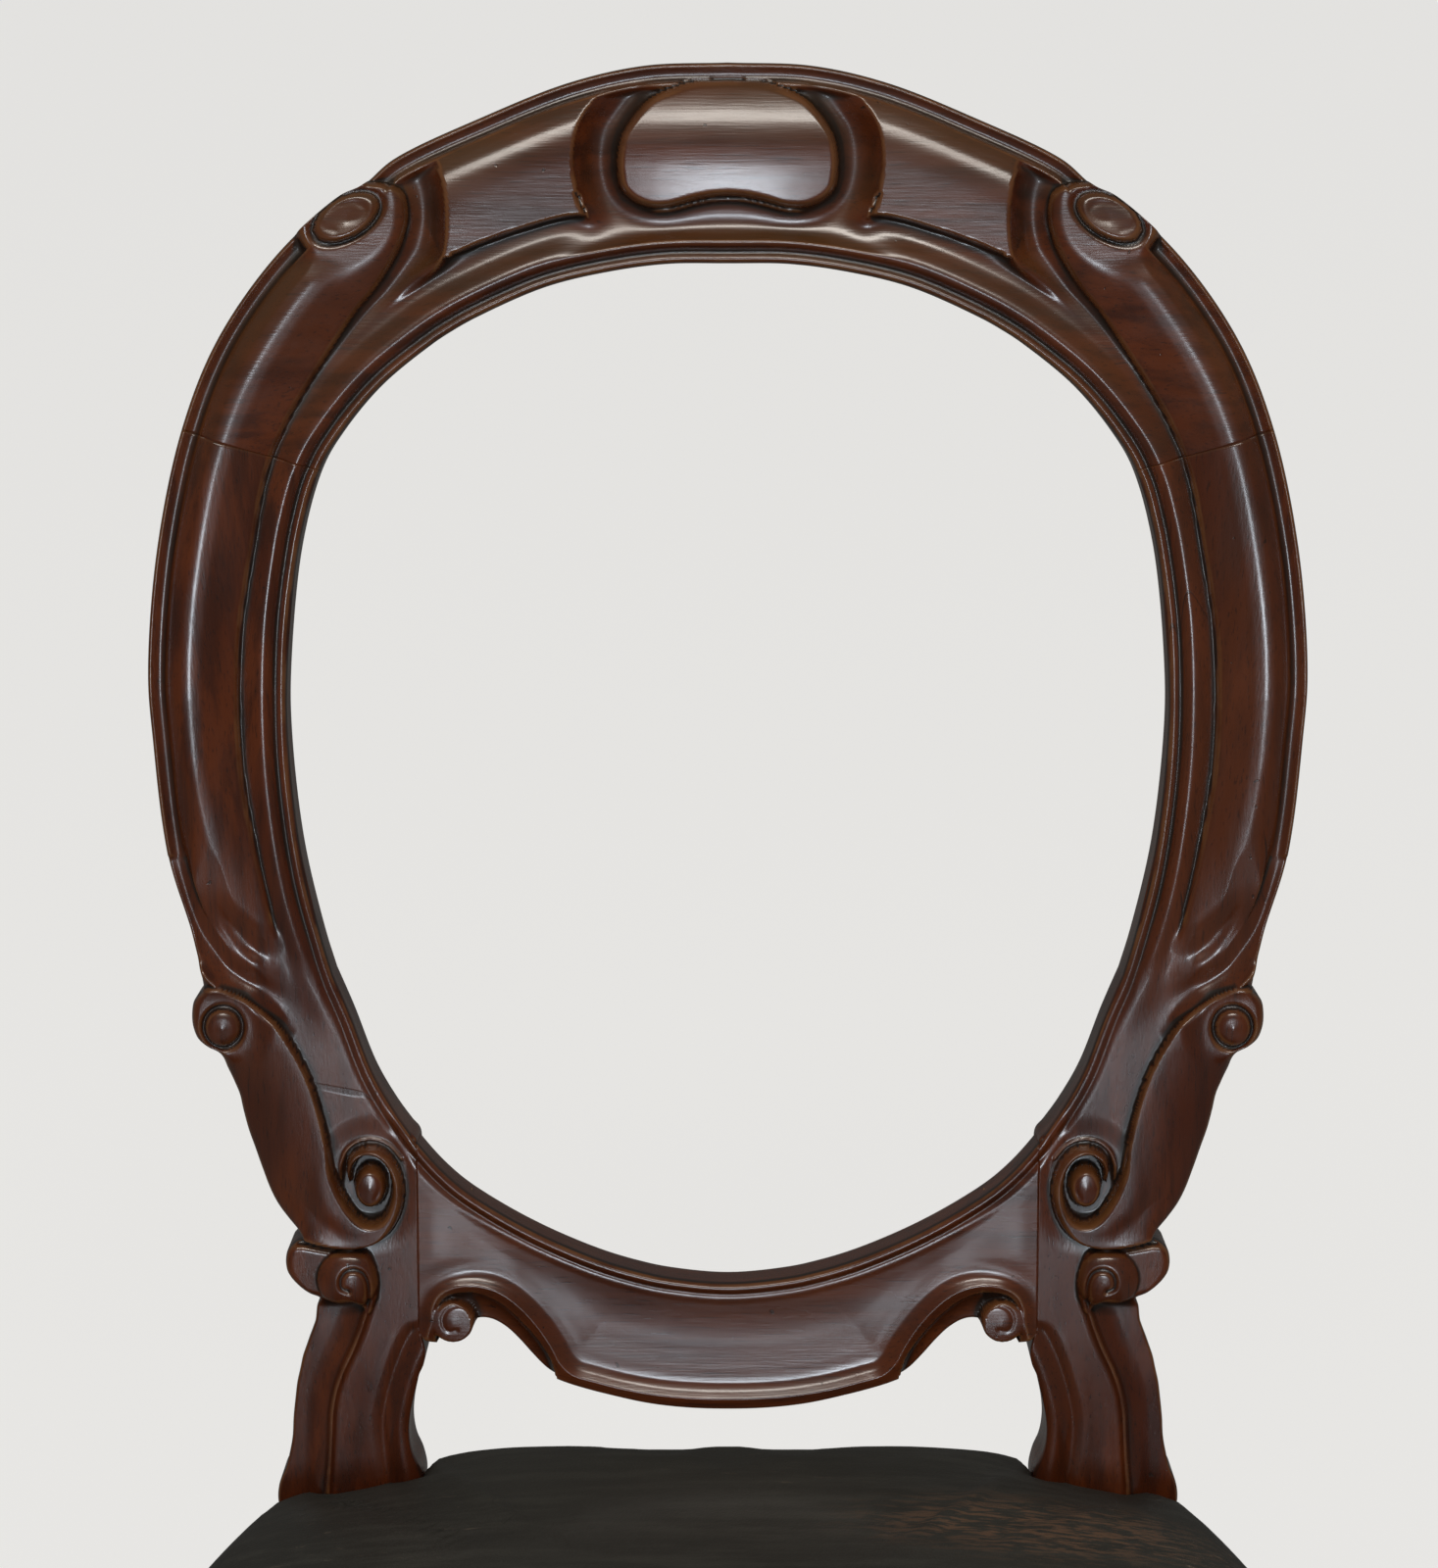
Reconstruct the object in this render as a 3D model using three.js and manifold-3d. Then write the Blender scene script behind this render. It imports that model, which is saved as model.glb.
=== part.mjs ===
// Balloon back dining chair: a carved mahogany hoop on two rear posts, a stuffed leather seat
// on four rails, and cabriole front legs.
// Millimetres. +Z is up from the floor, +X runs across, and the chair faces -Y.
import * as THREE from 'three';
import { mergeVertices } from 'three/addons/utils/BufferGeometryUtils.js';
import Module from 'manifold-3d';

// The back
const HOOP_HALF_WIDTH = 211;
const HOOP_HEIGHT = 750;
const HOOP_RISE = 225.5;
const SEAT_LINE_HEIGHT = 452;
const RAKE_ANGLE = THREE.MathUtils.degToRad(12);
const BACK_SWEEP = 12;
const HOOP_THICKNESS = 22;
const POST_DEPTH = 34;
const FOOT_DEPTH = 26;
const LEG_TURN_DROP = 57;
const LEG_TURN_HEIGHT = SEAT_LINE_HEIGHT - LEG_TURN_DROP;
const FOOT_SWEEP = 82;
const BACK_EDGE_ROUND = 5;

// The moulded section of the hoop
const RIM_WIDTH = 1.2;
const HOLLOW_CENTRE = 4.5;
const BAND_MARGIN = 7.2;
const QUIRK_MARGIN = 17;
const RIDGE_MARGIN = 9.5;
const GROOVE_MARGIN = 4.4;
const BEAD_MARGIN = 2.6;
const BAND_SWELL = 7;
const CARTOUCHE_SWELL = 8.5;
const CARTOUCHE_ROOT = 3;
const RING_DEPTH = 1.5;
const VALLEY_RADIUS = 8.5;
const VALLEY_LIFT = 6.5;
const EYE_LENGTH = 12.4;
const EYE_WIDTH = 6.6;
const EYE_LIFT = 3.4;

// The seat frame
const SEAT_HALF_WIDTH = 235;
const SEAT_DEPTH = 420;
const SEAT_REAR_INSET = 9;
const RAIL_TOP_DROP = 14;
const RAIL_HEIGHT = 66;
const SHOW_WOOD_HEIGHT = 30;
const RAIL_TOP = SEAT_LINE_HEIGHT - RAIL_TOP_DROP;
const RAIL_BOTTOM = RAIL_TOP - RAIL_HEIGHT;
const SHOW_WOOD_TOP = RAIL_BOTTOM + SHOW_WOOD_HEIGHT;
const SHOW_WOOD_PROUD = 3;
const RAIL_THICKNESS = 26;
const APRON_RISE = 12;
const APRON_HALF_WIDTH = 120;

// The front legs
const LEG_BLOCK = 44;
const LEG_INSET_X = 25;
const LEG_INSET_Y = 35;
const KNEE_THROW = 17;

// Joinery
const GAP = 0.3;
const TENON_THICKNESS = 10;
const TENON_HEIGHT = 42;
const TENON_LENGTH = 20;
const TENON_ROOT = 12;
const DOWEL_RADIUS = 4;
const DOWEL_LENGTH = 40;
const BLOCK_REACH = 75;
const BLOCK_RISE = 16;
const BLOCK_DROP = 8;
const BLOCK_BOTTOM = RAIL_BOTTOM + BLOCK_RISE;
const BLOCK_TOP = RAIL_TOP - BLOCK_DROP;
const SCREW_HEAD_RADIUS = 4.5;
const SCREW_SHANK_RADIUS = 2.2;
const SCREW_LENGTH = 34;
const SCREW_HEAD_LENGTH = 3.4;

// The upholstery
const WEB_WIDTH = 50;
const WEB_THICKNESS = 1.8;
const WEB_WEAVE = 2.3;
const WEB_SPACING_X = 58;
const WEB_SPACING_Y = 96;
const WEB_LAP = 16;
const HESSIAN_THICKNESS = 0.8;
const HESSIAN_INSET = 5;
const LEATHER_THICKNESS = 1.6;
const PAD_EASE = 1.2;
const POST_STUFFING_GAP = 7;
const SEAT_EDGE_DROP = 7;
const SEAT_CROWN_RISE = 37;
const SEAT_EDGE_HEIGHT = SEAT_LINE_HEIGHT - SEAT_EDGE_DROP;
const SEAT_CROWN_HEIGHT = SEAT_EDGE_HEIGHT + SEAT_CROWN_RISE;
const SEAT_SIDE_SWELL = 3.5;
const POST_TUCK = 9;
const POST_TUCK_REACH = 42;
const BANDING_HEIGHT = 10;
const BANDING_THICKNESS = 1.8;

// Overrun of a cutting tool past the piece that it cuts
const OVERRUN = 40;

const wasm = await Module();
wasm.setup();

const MAHOGANY = { color: 0x4a1f12, roughness: 0.32, metalness: 0 };
const RAIL_WOOD = { color: 0x8a6a45, roughness: 0.7, metalness: 0 };
const DOWEL_WOOD = { color: 0xb08a5c, roughness: 0.7, metalness: 0 };
const LEATHER = { color: 0x2e2f29, roughness: 0.5, metalness: 0 };
const JUTE = { color: 0xa98d62, roughness: 0.95, metalness: 0 };
const STEEL = { color: 0x6e6a63, roughness: 0.5, metalness: 1 };

// Distance up the slope from the seat line to the hoop's widest level, and the seat's rear edge
const BACK_DROP = (HOOP_HEIGHT - SEAT_LINE_HEIGHT) / Math.cos(RAKE_ANGLE);
const POST_FRONT_Y = -BACK_DROP * Math.sin(RAKE_ANGLE);
const SEAT_REAR_Y = POST_FRONT_Y + POST_DEPTH - SEAT_REAR_INSET;
const LEG_TURN_Y = POST_FRONT_Y - LEG_TURN_DROP * Math.tan(RAKE_ANGLE) / 2;

// Solids and meshes

function middleOf(places) {
  const sum = new THREE.Vector3();
  places.forEach((place) => sum.add(place));
  return sum.divideScalar(places.length);
}

// A closed mesh from rings of points. Each end is closed by a fan to one point, which lies in the
// middle of the end ring unless it is given.
function ringSolid(rings, startPoint = middleOf(rings[0]), endPoint = middleOf(rings[rings.length - 1])) {
  const count = rings[0].length;
  const vertices = rings.flat();
  const faces = [];
  for (let row = 0; row + 1 < rings.length; row += 1) {
    for (let i = 0; i < count; i += 1) {
      const next = (i + 1) % count;
      const a = row * count + i;
      const b = row * count + next;
      faces.push([a, b, b + count], [a, b + count, a + count]);
    }
  }
  const last = (rings.length - 1) * count;
  const start = vertices.push(startPoint) - 1;
  const end = vertices.push(endPoint) - 1;
  for (let i = 0; i < count; i += 1) {
    const next = (i + 1) % count;
    faces.push([start, next, i], [end, last + i, last + next]);
  }
  return outwardSolid(vertices, faces);
}

// Makes a solid, and turns its faces round where they point inwards.
function outwardSolid(vertices, faces) {
  let volume = 0;
  faces.forEach(([a, b, c]) => {
    volume += vertices[a].dot(vertices[b].clone().cross(vertices[c]));
  });
  const turned = volume < 0 ? faces.map(([a, b, c]) => [a, c, b]) : faces;
  const mesh = new wasm.Mesh({
    numProp: 3,
    vertProperties: new Float32Array(vertices.flatMap((p) => [p.x, p.y, p.z])),
    triVerts: new Uint32Array(turned.flat()),
  });
  return new wasm.Manifold(mesh);
}

function solidFromGeometry(geometry) {
  const plain = (geometry.index ? geometry.toNonIndexed() : geometry).clone();
  plain.deleteAttribute('normal');
  plain.deleteAttribute('uv');
  const merged = mergeVertices(plain, GAP / 100);
  const place = merged.getAttribute('position');
  const vertices = [];
  for (let i = 0; i < place.count; i += 1) {
    vertices.push(new THREE.Vector3().fromBufferAttribute(place, i));
  }
  const faces = [];
  for (let i = 0; i < merged.index.count; i += 3) {
    faces.push([merged.index.getX(i), merged.index.getX(i + 1), merged.index.getX(i + 2)]);
  }
  const whole = faces.filter(([a, b, c]) => a !== b && b !== c && c !== a);
  return outwardSolid(vertices, whole);
}

const chair = new THREE.Group();

function addPiece(name, solid, finish) {
  const { numProp, vertProperties, triVerts } = solid.getMesh();
  const places = [];
  for (let i = 0; i < vertProperties.length; i += numProp) {
    places.push(vertProperties[i], vertProperties[i + 1], vertProperties[i + 2]);
  }
  const geometry = new THREE.BufferGeometry();
  geometry.setAttribute('position', new THREE.Float32BufferAttribute(places, 3));
  geometry.setIndex(Array.from(triVerts));
  geometry.computeVertexNormals();
  const mesh = new THREE.Mesh(geometry, new THREE.MeshStandardMaterial(finish));
  mesh.name = name;
  chair.add(mesh);
}

function mirrored(solid) {
  return solid.mirror([1, 0, 0]);
}

// A board from its outline in plan, between two heights.
function board(outline, bottom, top) {
  const geometry = new THREE.ExtrudeGeometry(new THREE.Shape(outline), {
    depth: top - bottom,
    bevelEnabled: false,
    steps: 1,
  });
  geometry.translate(0, 0, bottom);
  return solidFromGeometry(geometry);
}

// A block centred on a point and turned about the vertical.
function block(centre, size, turn = 0) {
  const geometry = new THREE.BoxGeometry(size.x, size.y, size.z);
  geometry.rotateZ(turn);
  geometry.translate(centre.x, centre.y, centre.z);
  return solidFromGeometry(geometry);
}

// A round bar, or a profile of [radius, distance] turned about the line from start along a direction.
function turnedAlong(profile, start, direction, sides) {
  const geometry = new THREE.LatheGeometry(profile.map(([r, d]) => new THREE.Vector2(r, d)), sides);
  const up = new THREE.Vector3(0, 1, 0);
  geometry.applyQuaternion(new THREE.Quaternion().setFromUnitVectors(up, direction.clone().normalize()));
  geometry.translate(start.x, start.y, start.z);
  return solidFromGeometry(geometry);
}

// The back: u runs across, v runs up the slope from the hoop's widest level, and h stands out to the front

// The front line of the back seen from the side: straight above the seat line, then the curve of the
// rear leg, which stands upright at the seat rails and sweeps back to the floor.
function backLine(v) {
  if (v >= -BACK_DROP) {
    const z = HOOP_HEIGHT + v * Math.cos(RAKE_ANGLE);
    return { y: v * Math.sin(RAKE_ANGLE), z, lean: RAKE_ANGLE };
  }
  const z = SEAT_LINE_HEIGHT + BACK_DROP + v;
  const rise = z - LEG_TURN_HEIGHT;
  if (rise >= 0) {
    const y = LEG_TURN_Y + rise * rise * Math.tan(RAKE_ANGLE) / (2 * LEG_TURN_DROP);
    return { y, z, lean: RAKE_ANGLE * rise / LEG_TURN_DROP };
  }
  const sweepPower = 1.8;
  return { y: LEG_TURN_Y + FOOT_SWEEP * (-rise / LEG_TURN_HEIGHT) ** sweepPower, z, lean: 0 };
}

function onBack(u, v, h) {
  const line = backLine(v);
  const sweep = v >= -BACK_DROP ? (u / HOOP_HALF_WIDTH) ** 2 : 0;
  const blend = v >= 0 ? 1 : Math.max(0, 1 + v / BACK_DROP);
  const y = line.y - BACK_SWEEP * sweep * blend - h * Math.cos(line.lean);
  return new THREE.Vector3(u, y, line.z + h * Math.sin(line.lean));
}

// A share of the height of the back: up to 1 at the top of the hoop, down to -1 at the seat line.
const upBack = (share) => share * (share >= 0 ? HOOP_RISE : BACK_DROP);
const across = (share) => share * HOOP_HALF_WIDTH;

// Pairs of points on the outer and the inner edge of the hoop, from the top middle down one side:
// outer across, outer up, inner across, inner up.
const hoopShares = [
  [0, 1, 0, 0.683],
  [0.142, 0.995, 0.104, 0.682],
  [0.27, 0.969, 0.204, 0.67],
  [0.417, 0.916, 0.313, 0.646],
  [0.569, 0.851, 0.431, 0.599],
  [0.62, 0.812, 0.47, 0.579],
  [0.659, 0.795, 0.507, 0.557],
  [0.77, 0.702, 0.597, 0.49],
  [0.872, 0.57, 0.664, 0.417],
  [0.934, 0.43, 0.701, 0.359],
  [0.98, 0.24, 0.739, 0.234],
  [1, 0.042, 0.762, 0.035],
  [0.995, -0.052, 0.763, -0.057],
  [0.975, -0.192, 0.746, -0.19],
  [0.936, -0.292, 0.713, -0.302],
  [0.918, -0.348, 0.692, -0.354],
  [0.939, -0.393, 0.668, -0.393],
  [0.929, -0.423, 0.653, -0.423],
  [0.889, -0.443, 0.644, -0.443],
  [0.87, -0.479, 0.621, -0.479],
  [0.846, -0.541, 0.569, -0.541],
  [0.823, -0.59, 0.55, -0.59],
  [0.792, -0.64, 0.55, -0.64],
  [0.757, -0.675, 0.55, -0.675],
  [0.783, -0.708, 0.55, -0.708],
  [0.76, -0.741, 0.55, -0.741],
  [0.726, -0.761, 0.55, -0.761],
  [0.736, -0.79, 0.548, -0.79],
  [0.759, -0.833, 0.541, -0.833],
  [0.774, -0.889, 0.562, -0.889],
  [0.781, -0.938, 0.57, -0.938],
  [0.793, -0.977, 0.556, -0.977],
];
const CREST_JOINT_ROW = 9;
const LEAF_ROW = 16;
const LEAF_END_ROW = 23;
const POST_ROW = 27;
const RAIL_JOINT_SHARE = 0.55;

// The post and rear leg below the seat line: height, outer edge across, inner edge across, and depth
// as a share of the post's depth.
const legShares = [
  [0.973, 0.8, 0.555, 1],
  [0.94, 0.792, 0.565, 1.02],
  [0.885, 0.785, 0.572, 1.05],
  [0.823, 0.783, 0.575, 1.05],
  [0.708, 0.778, 0.59, 1],
  [0.509, 0.775, 0.61, 0.88],
  [0.265, 0.778, 0.635, 0.8],
  [0.088, 0.787, 0.65, FOOT_DEPTH / POST_DEPTH],
  [0, 0.79, 0.655, FOOT_DEPTH / POST_DEPTH],
];

const toOuter = ([p, q]) => new THREE.Vector3(across(p), upBack(q), 0);
const toInner = ([, , p, q]) => new THREE.Vector3(across(p), upBack(q), 0);
const outerEdge = new THREE.CatmullRomCurve3(hoopShares.map(toOuter), false, 'centripetal');
const innerEdge = new THREE.CatmullRomCurve3(hoopShares.map(toInner), false, 'centripetal');
const LAST_ROW = hoopShares.length - 1;

// The front of the hoop in section, as [distance from the outer edge, height] across a width:
// rim, hollow, swelling band, quirk, ridge, groove and bead.
function hoopSection(width) {
  const bandShares = [[0, 0.15], [0.2, 0.68], [0.45, 1], [0.72, 0.8], [0.97, 0.3]];
  const bandWidth = width - BAND_MARGIN - QUIRK_MARGIN;
  return [
    [0, -0.4],
    [RIM_WIDTH, -0.05],
    [HOLLOW_CENTRE, -0.22],
    ...bandShares.map(([share, height]) => [BAND_MARGIN + share * bandWidth, height]),
    [width - QUIRK_MARGIN, -0.2],
    [width - RIDGE_MARGIN, 0.36],
    [width - GROOVE_MARGIN, -0.14],
    [width - BEAD_MARGIN, 0.07],
    [width, -0.3],
  ].map(([distance, share]) => [distance, share * BAND_SWELL]);
}

// The carved leaf, and the post with its side hollow, arris and inner roll.
const leafSectionShares = [
  [0, -0.7], [0.03, 0.1], [0.09, 0.5], [0.17, 0.8], [0.28, 0.95], [0.4, 0.85], [0.5, 0.55],
  [0.56, 0.1], [0.6, -0.3], [0.76, -0.2], [0.86, 0.1], [0.94, 0], [1, -0.2],
];
const knobSectionShares = [
  [0, -0.8], [0.04, 0.1], [0.12, 0.65], [0.22, 0.95], [0.34, 1], [0.44, 0.8], [0.52, 0.35],
  [0.58, 0], [0.66, -0.1], [0.76, -0.1], [0.86, -0.1], [0.95, -0.1], [1, -0.15],
];
const postSectionShares = [
  [0, -0.9], [0.02, -0.55], [0.1, -0.6], [0.2, -0.6], [0.3, -0.4], [0.38, 0.02], [0.42, 0.1],
  [0.56, 0.02], [0.7, 0], [0.8, 0.22], [0.88, 0.28], [0.96, -0.1], [1, -0.6],
];
const legSectionShares = [
  [0, -0.8], [0.06, -0.2], [0.14, 0], [0.22, 0], [0.31, 0], [0.4, 0], [0.5, 0],
  [0.6, 0], [0.69, 0], [0.78, 0], [0.86, 0], [0.94, -0.2], [1, -0.8],
];

function sharedSection(shares, width) {
  return shares.map(([share, height]) => [share * width, height * BAND_SWELL]);
}

function mixSections(first, second, mix) {
  return first.map(([d, h], i) => [
    THREE.MathUtils.lerp(d, second[i][0], mix),
    THREE.MathUtils.lerp(h, second[i][1], mix),
  ]);
}

// The section at a place on the hoop rows, which may lie between two rows.
function sectionAt(row, width) {
  const hoop = hoopSection(width);
  const leaf = sharedSection(leafSectionShares, width);
  const knob = sharedSection(knobSectionShares, width);
  const post = sharedSection(postSectionShares, width);
  if (row <= LEAF_ROW - 1) return hoop;
  if (row <= LEAF_ROW) return mixSections(hoop, leaf, row - LEAF_ROW + 1);
  if (row <= LEAF_END_ROW) return leaf;
  if (row <= LEAF_END_ROW + 1) return mixSections(leaf, knob, row - LEAF_END_ROW);
  if (row <= POST_ROW - 2) return knob;
  if (row <= POST_ROW) return mixSections(knob, post, (row - POST_ROW + 2) / 2);
  return post;
}

// One closed ring of points round the back's section between an outer and an inner point.
function backRing(outer, inner, section, depth, grow) {
  const width = outer.distanceTo(inner);
  const along = inner.clone().sub(outer).normalize();
  const front = section.map(([d, h]) => {
    const share = d / width;
    const place = outer.clone().addScaledVector(along, d + grow * (2 * share - 1));
    return onBack(place.x, place.y, h + grow);
  });
  const rounding = Math.min(BACK_EDGE_ROUND, depth / 2, width / 2);
  const back = [
    [width + grow, -depth + rounding],
    [width - rounding + grow, -depth - grow],
    [width / 2, -depth - grow],
    [rounding - grow, -depth - grow],
    [-grow, -depth + rounding],
  ].map(([d, h]) => {
    const place = outer.clone().addScaledVector(along, d);
    return onBack(place.x, place.y, h);
  });
  return [...front, ...back];
}

function hoopPlace(row) {
  const share = row / LAST_ROW;
  return { outer: outerEdge.getPoint(share), inner: innerEdge.getPoint(share) };
}

function backDepth(v) {
  return THREE.MathUtils.lerp(HOOP_THICKNESS, POST_DEPTH, Math.min(1, Math.max(0, -v / BACK_DROP)));
}

function hoopRing(row, mirror = false, slide = 0, grow = 0) {
  const { outer, inner } = hoopPlace(row);
  const width = outer.distanceTo(inner);
  const along = inner.clone().sub(outer).normalize();
  const down = new THREE.Vector3(along.y, -along.x, 0);
  if (down.y > 0) down.negate();
  outer.addScaledVector(down, slide);
  inner.addScaledVector(down, slide);
  const ring = backRing(outer, inner, sectionAt(row, width), backDepth(outer.y), grow);
  if (mirror) ring.forEach((place) => { place.x = -place.x; });
  return ring;
}

function rowSteps(from, to, stepsPerRow) {
  const rows = [];
  const count = Math.round((to - from) * stepsPerRow);
  for (let i = 0; i <= count; i += 1) rows.push(from + (to - from) * i / count);
  return rows;
}

// Crest rail: the top of the hoop, in one piece from joint to joint

function crestBody() {
  const rows = rowSteps(0, CREST_JOINT_ROW, 2);
  const right = rows.map((row, i) => hoopRing(row, false, i === rows.length - 1 ? -GAP / 2 : 0));
  const left = rows.slice(1).reverse();
  const leftRings = left.map((row, i) => hoopRing(row, true, i === 0 ? -GAP / 2 : 0));
  return ringSolid([...leftRings, ...right]);
}

// The kidney-shaped cartouche and the ring hollow round it, as [across, up] from the hoop's middle.
const cartoucheShares = [
  [0, 0.972], [0.066, 0.968], [0.123, 0.949], [0.162, 0.914], [0.184, 0.872], [0.189, 0.83],
  [0.173, 0.796], [0.14, 0.783], [0.09, 0.782], [0.045, 0.79], [0, 0.798],
];
const ringShares = [
  [0, 0.965], [0.12, 0.96], [0.222, 0.948], [0.252, 0.905], [0.264, 0.86], [0.262, 0.815],
  [0.245, 0.768], [0.205, 0.745], [0.14, 0.73], [0.06, 0.732], [0, 0.735],
];

function kidneyOutline(shares, steps) {
  const half = shares.map(([p, q]) => new THREE.Vector3(across(p), upBack(q), 0));
  const other = half.slice(1, -1).reverse().map((place) => new THREE.Vector3(-place.x, place.y, 0));
  const curve = new THREE.CatmullRomCurve3([...half, ...other], true, 'centripetal');
  return curve.getPoints(steps).slice(0, steps);
}

// A pad that stands on the face of the back: its outline drawn in towards the middle as it rises.
function carvedPad(outline, centre, rows) {
  const rings = rows.map(([share, height]) => outline.map((place) => {
    const at = centre.clone().lerp(place, share);
    return onBack(at.x, at.y, height);
  }));
  const first = onBack(centre.x, centre.y, rows[0][1]);
  const top = onBack(centre.x, centre.y, rows[rows.length - 1][1]);
  return ringSolid(rings, first, top);
}

const cartoucheRows = [
  [1, -CARTOUCHE_ROOT],
  [1, 0.4 * CARTOUCHE_SWELL],
  [0.95, 0.78 * CARTOUCHE_SWELL],
  [0.82, 0.94 * CARTOUCHE_SWELL],
  [0.45, CARTOUCHE_SWELL],
];

function cartouche() {
  const outline = kidneyOutline(cartoucheShares, 32);
  return carvedPad(outline, middleOf(outline), cartoucheRows);
}

function ringPocket() {
  const outline = kidneyOutline(ringShares, 32);
  return carvedPad(outline, middleOf(outline), [[1, -RING_DEPTH], [1, OVERRUN]]);
}

// A round tool run along a line on the face of the back.
function tubeOnBack(places, radius, lift, sides, steps) {
  const line = places.map(([p, q]) => onBack(across(p), upBack(q), lift));
  const curve = new THREE.CatmullRomCurve3(line);
  const circle = new THREE.Shape();
  for (let i = 0; i < sides; i += 1) {
    const turn = 2 * Math.PI * i / sides;
    const place = [radius * Math.cos(turn), radius * Math.sin(turn)];
    if (i === 0) circle.moveTo(...place);
    else circle.lineTo(...place);
  }
  const geometry = new THREE.ExtrudeGeometry(circle, { steps, extrudePath: curve, curveSegments: 1 });
  return solidFromGeometry(geometry);
}

const valleyShares = [[0.535, 0.9], [0.512, 0.82], [0.508, 0.75], [0.525, 0.69], [0.57, 0.62]];
const EYE_ACROSS_SHARE = 0.655;
const EYE_UP_SHARE = 0.754;
const EYE_TURN = THREE.MathUtils.degToRad(-32);

// The long eye of the shoulder scroll.
function shoulderEye() {
  const outline = [];
  const steps = 12;
  for (let i = 0; i < steps; i += 1) {
    const turn = 2 * Math.PI * i / steps;
    const a = EYE_LENGTH * Math.cos(turn);
    const b = EYE_WIDTH * Math.sin(turn);
    outline.push(new THREE.Vector3(
      across(EYE_ACROSS_SHARE) + a * Math.cos(EYE_TURN) - b * Math.sin(EYE_TURN),
      upBack(EYE_UP_SHARE) + a * Math.sin(EYE_TURN) + b * Math.cos(EYE_TURN),
      0,
    ));
  }
  const top = BAND_SWELL + EYE_LIFT;
  return carvedPad(outline, middleOf(outline), [[1, 0], [1, 0.8 * top], [0.8, top]]);
}

// Dowels of a joint: the line across the joint, shares of where they stand on it, and their direction

const crestDowelShares = [0.32, 0.68];
const railDowelUpShares = [-0.64, -0.73];

function barAlong(centre, direction, radius, length) {
  const start = centre.clone().addScaledVector(direction, -length / 2);
  return turnedAlong([[0, 0], [radius, 0], [radius, length], [0, length]], start, direction, 12);
}

function crestDowel(share, grow = 0) {
  const { outer, inner } = hoopPlace(CREST_JOINT_ROW);
  const along = inner.clone().sub(outer).normalize();
  const middle = outer.clone().lerp(inner, share);
  const down = new THREE.Vector3(along.y, -along.x, 0);
  const depth = -HOOP_THICKNESS / 2;
  const centre = onBack(middle.x, middle.y, depth);
  const ahead = middle.clone().addScaledVector(down, DOWEL_LENGTH / 2);
  const direction = onBack(ahead.x, ahead.y, depth).sub(centre).normalize();
  return barAlong(centre, direction, DOWEL_RADIUS + grow, DOWEL_LENGTH + 2 * grow);
}

function railDowel(upShare, grow = 0) {
  const centre = onBack(across(RAIL_JOINT_SHARE), upBack(upShare), -HOOP_THICKNESS / 2);
  const direction = new THREE.Vector3(1, 0, 0);
  return barAlong(centre, direction, DOWEL_RADIUS + grow, DOWEL_LENGTH + 2 * grow);
}

// Back stile: side of the hoop, leaf, post and rear leg, cut from one timber

function legRing(index, grow) {
  const [heightShare, outerShare, innerShare, depthShare] = legShares[index];
  const v = -BACK_DROP - SEAT_LINE_HEIGHT * (1 - heightShare);
  const outer = new THREE.Vector3(across(outerShare), v, 0);
  const inner = new THREE.Vector3(across(innerShare), v, 0);
  const width = outer.distanceTo(inner);
  const post = sharedSection(postSectionShares, width);
  const plain = sharedSection(legSectionShares, width);
  const section = mixSections(post, plain, Math.min(1, (index + 1) / 3));
  return backRing(outer, inner, section, POST_DEPTH * depthShare, grow);
}

function stileBody(grow = 0) {
  const hoopRows = rowSteps(CREST_JOINT_ROW, LEAF_ROW, 2);
  const leafRows = rowSteps(LEAF_ROW, LAST_ROW, 1).slice(1);
  const rings = hoopRows.map((row, i) => hoopRing(row, false, i === 0 ? GAP / 2 - grow : 0, grow));
  leafRows.forEach((row) => rings.push(hoopRing(row, false, 0, grow)));
  legShares.forEach((share, index) => rings.push(legRing(index, grow)));
  return ringSolid(rings);
}

// A carved volute: a round rib that winds in to its eye on the face of the back.
// centre and start are shares, and turns counts its windings.
function volute({ centre, outerRadius, innerRadius, ribRadius, lift, turns, startTurn, steps }) {
  const [p, q] = centre;
  const line = [];
  for (let i = 0; i <= steps; i += 1) {
    const share = i / steps;
    const radius = THREE.MathUtils.lerp(outerRadius, innerRadius, share);
    const turn = startTurn + 2 * Math.PI * turns * share;
    const u = across(p) + radius * Math.cos(turn);
    const v = upBack(q) + radius * Math.sin(turn);
    line.push(onBack(u, v, lift));
  }
  const curve = new THREE.CatmullRomCurve3(line);
  const circle = new THREE.Shape();
  const sides = 6;
  for (let i = 0; i < sides; i += 1) {
    const turn = 2 * Math.PI * i / sides;
    const place = [ribRadius * Math.cos(turn), ribRadius * Math.sin(turn)];
    if (i === 0) circle.moveTo(...place);
    else circle.lineTo(...place);
  }
  const geometry = new THREE.ExtrudeGeometry(circle, { steps, extrudePath: curve, curveSegments: 1 });
  return solidFromGeometry(geometry);
}

const LEAF_VOLUTE = {
  centre: [0.632, -0.612],
  outerRadius: 13.5,
  innerRadius: 4,
  ribRadius: 4.2,
  lift: 2.6,
  turns: -1.25,
  startTurn: -Math.PI / 2,
  steps: 20,
};
const KNOB_VOLUTE = {
  centre: [0.668, -0.738],
  outerRadius: 9,
  innerRadius: 3,
  ribRadius: 3.2,
  lift: 3,
  turns: -1.1,
  startTurn: -Math.PI / 2,
  steps: 14,
};
const RAIL_VOLUTE = {
  centre: [0.487, -0.789],
  outerRadius: 10.5,
  innerRadius: 3.5,
  ribRadius: 2.6,
  lift: 0.6,
  turns: 1.15,
  startTurn: Math.PI * 0.35,
  steps: 16,
};

// Lower back rail: the bottom of the hoop between the stiles

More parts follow.
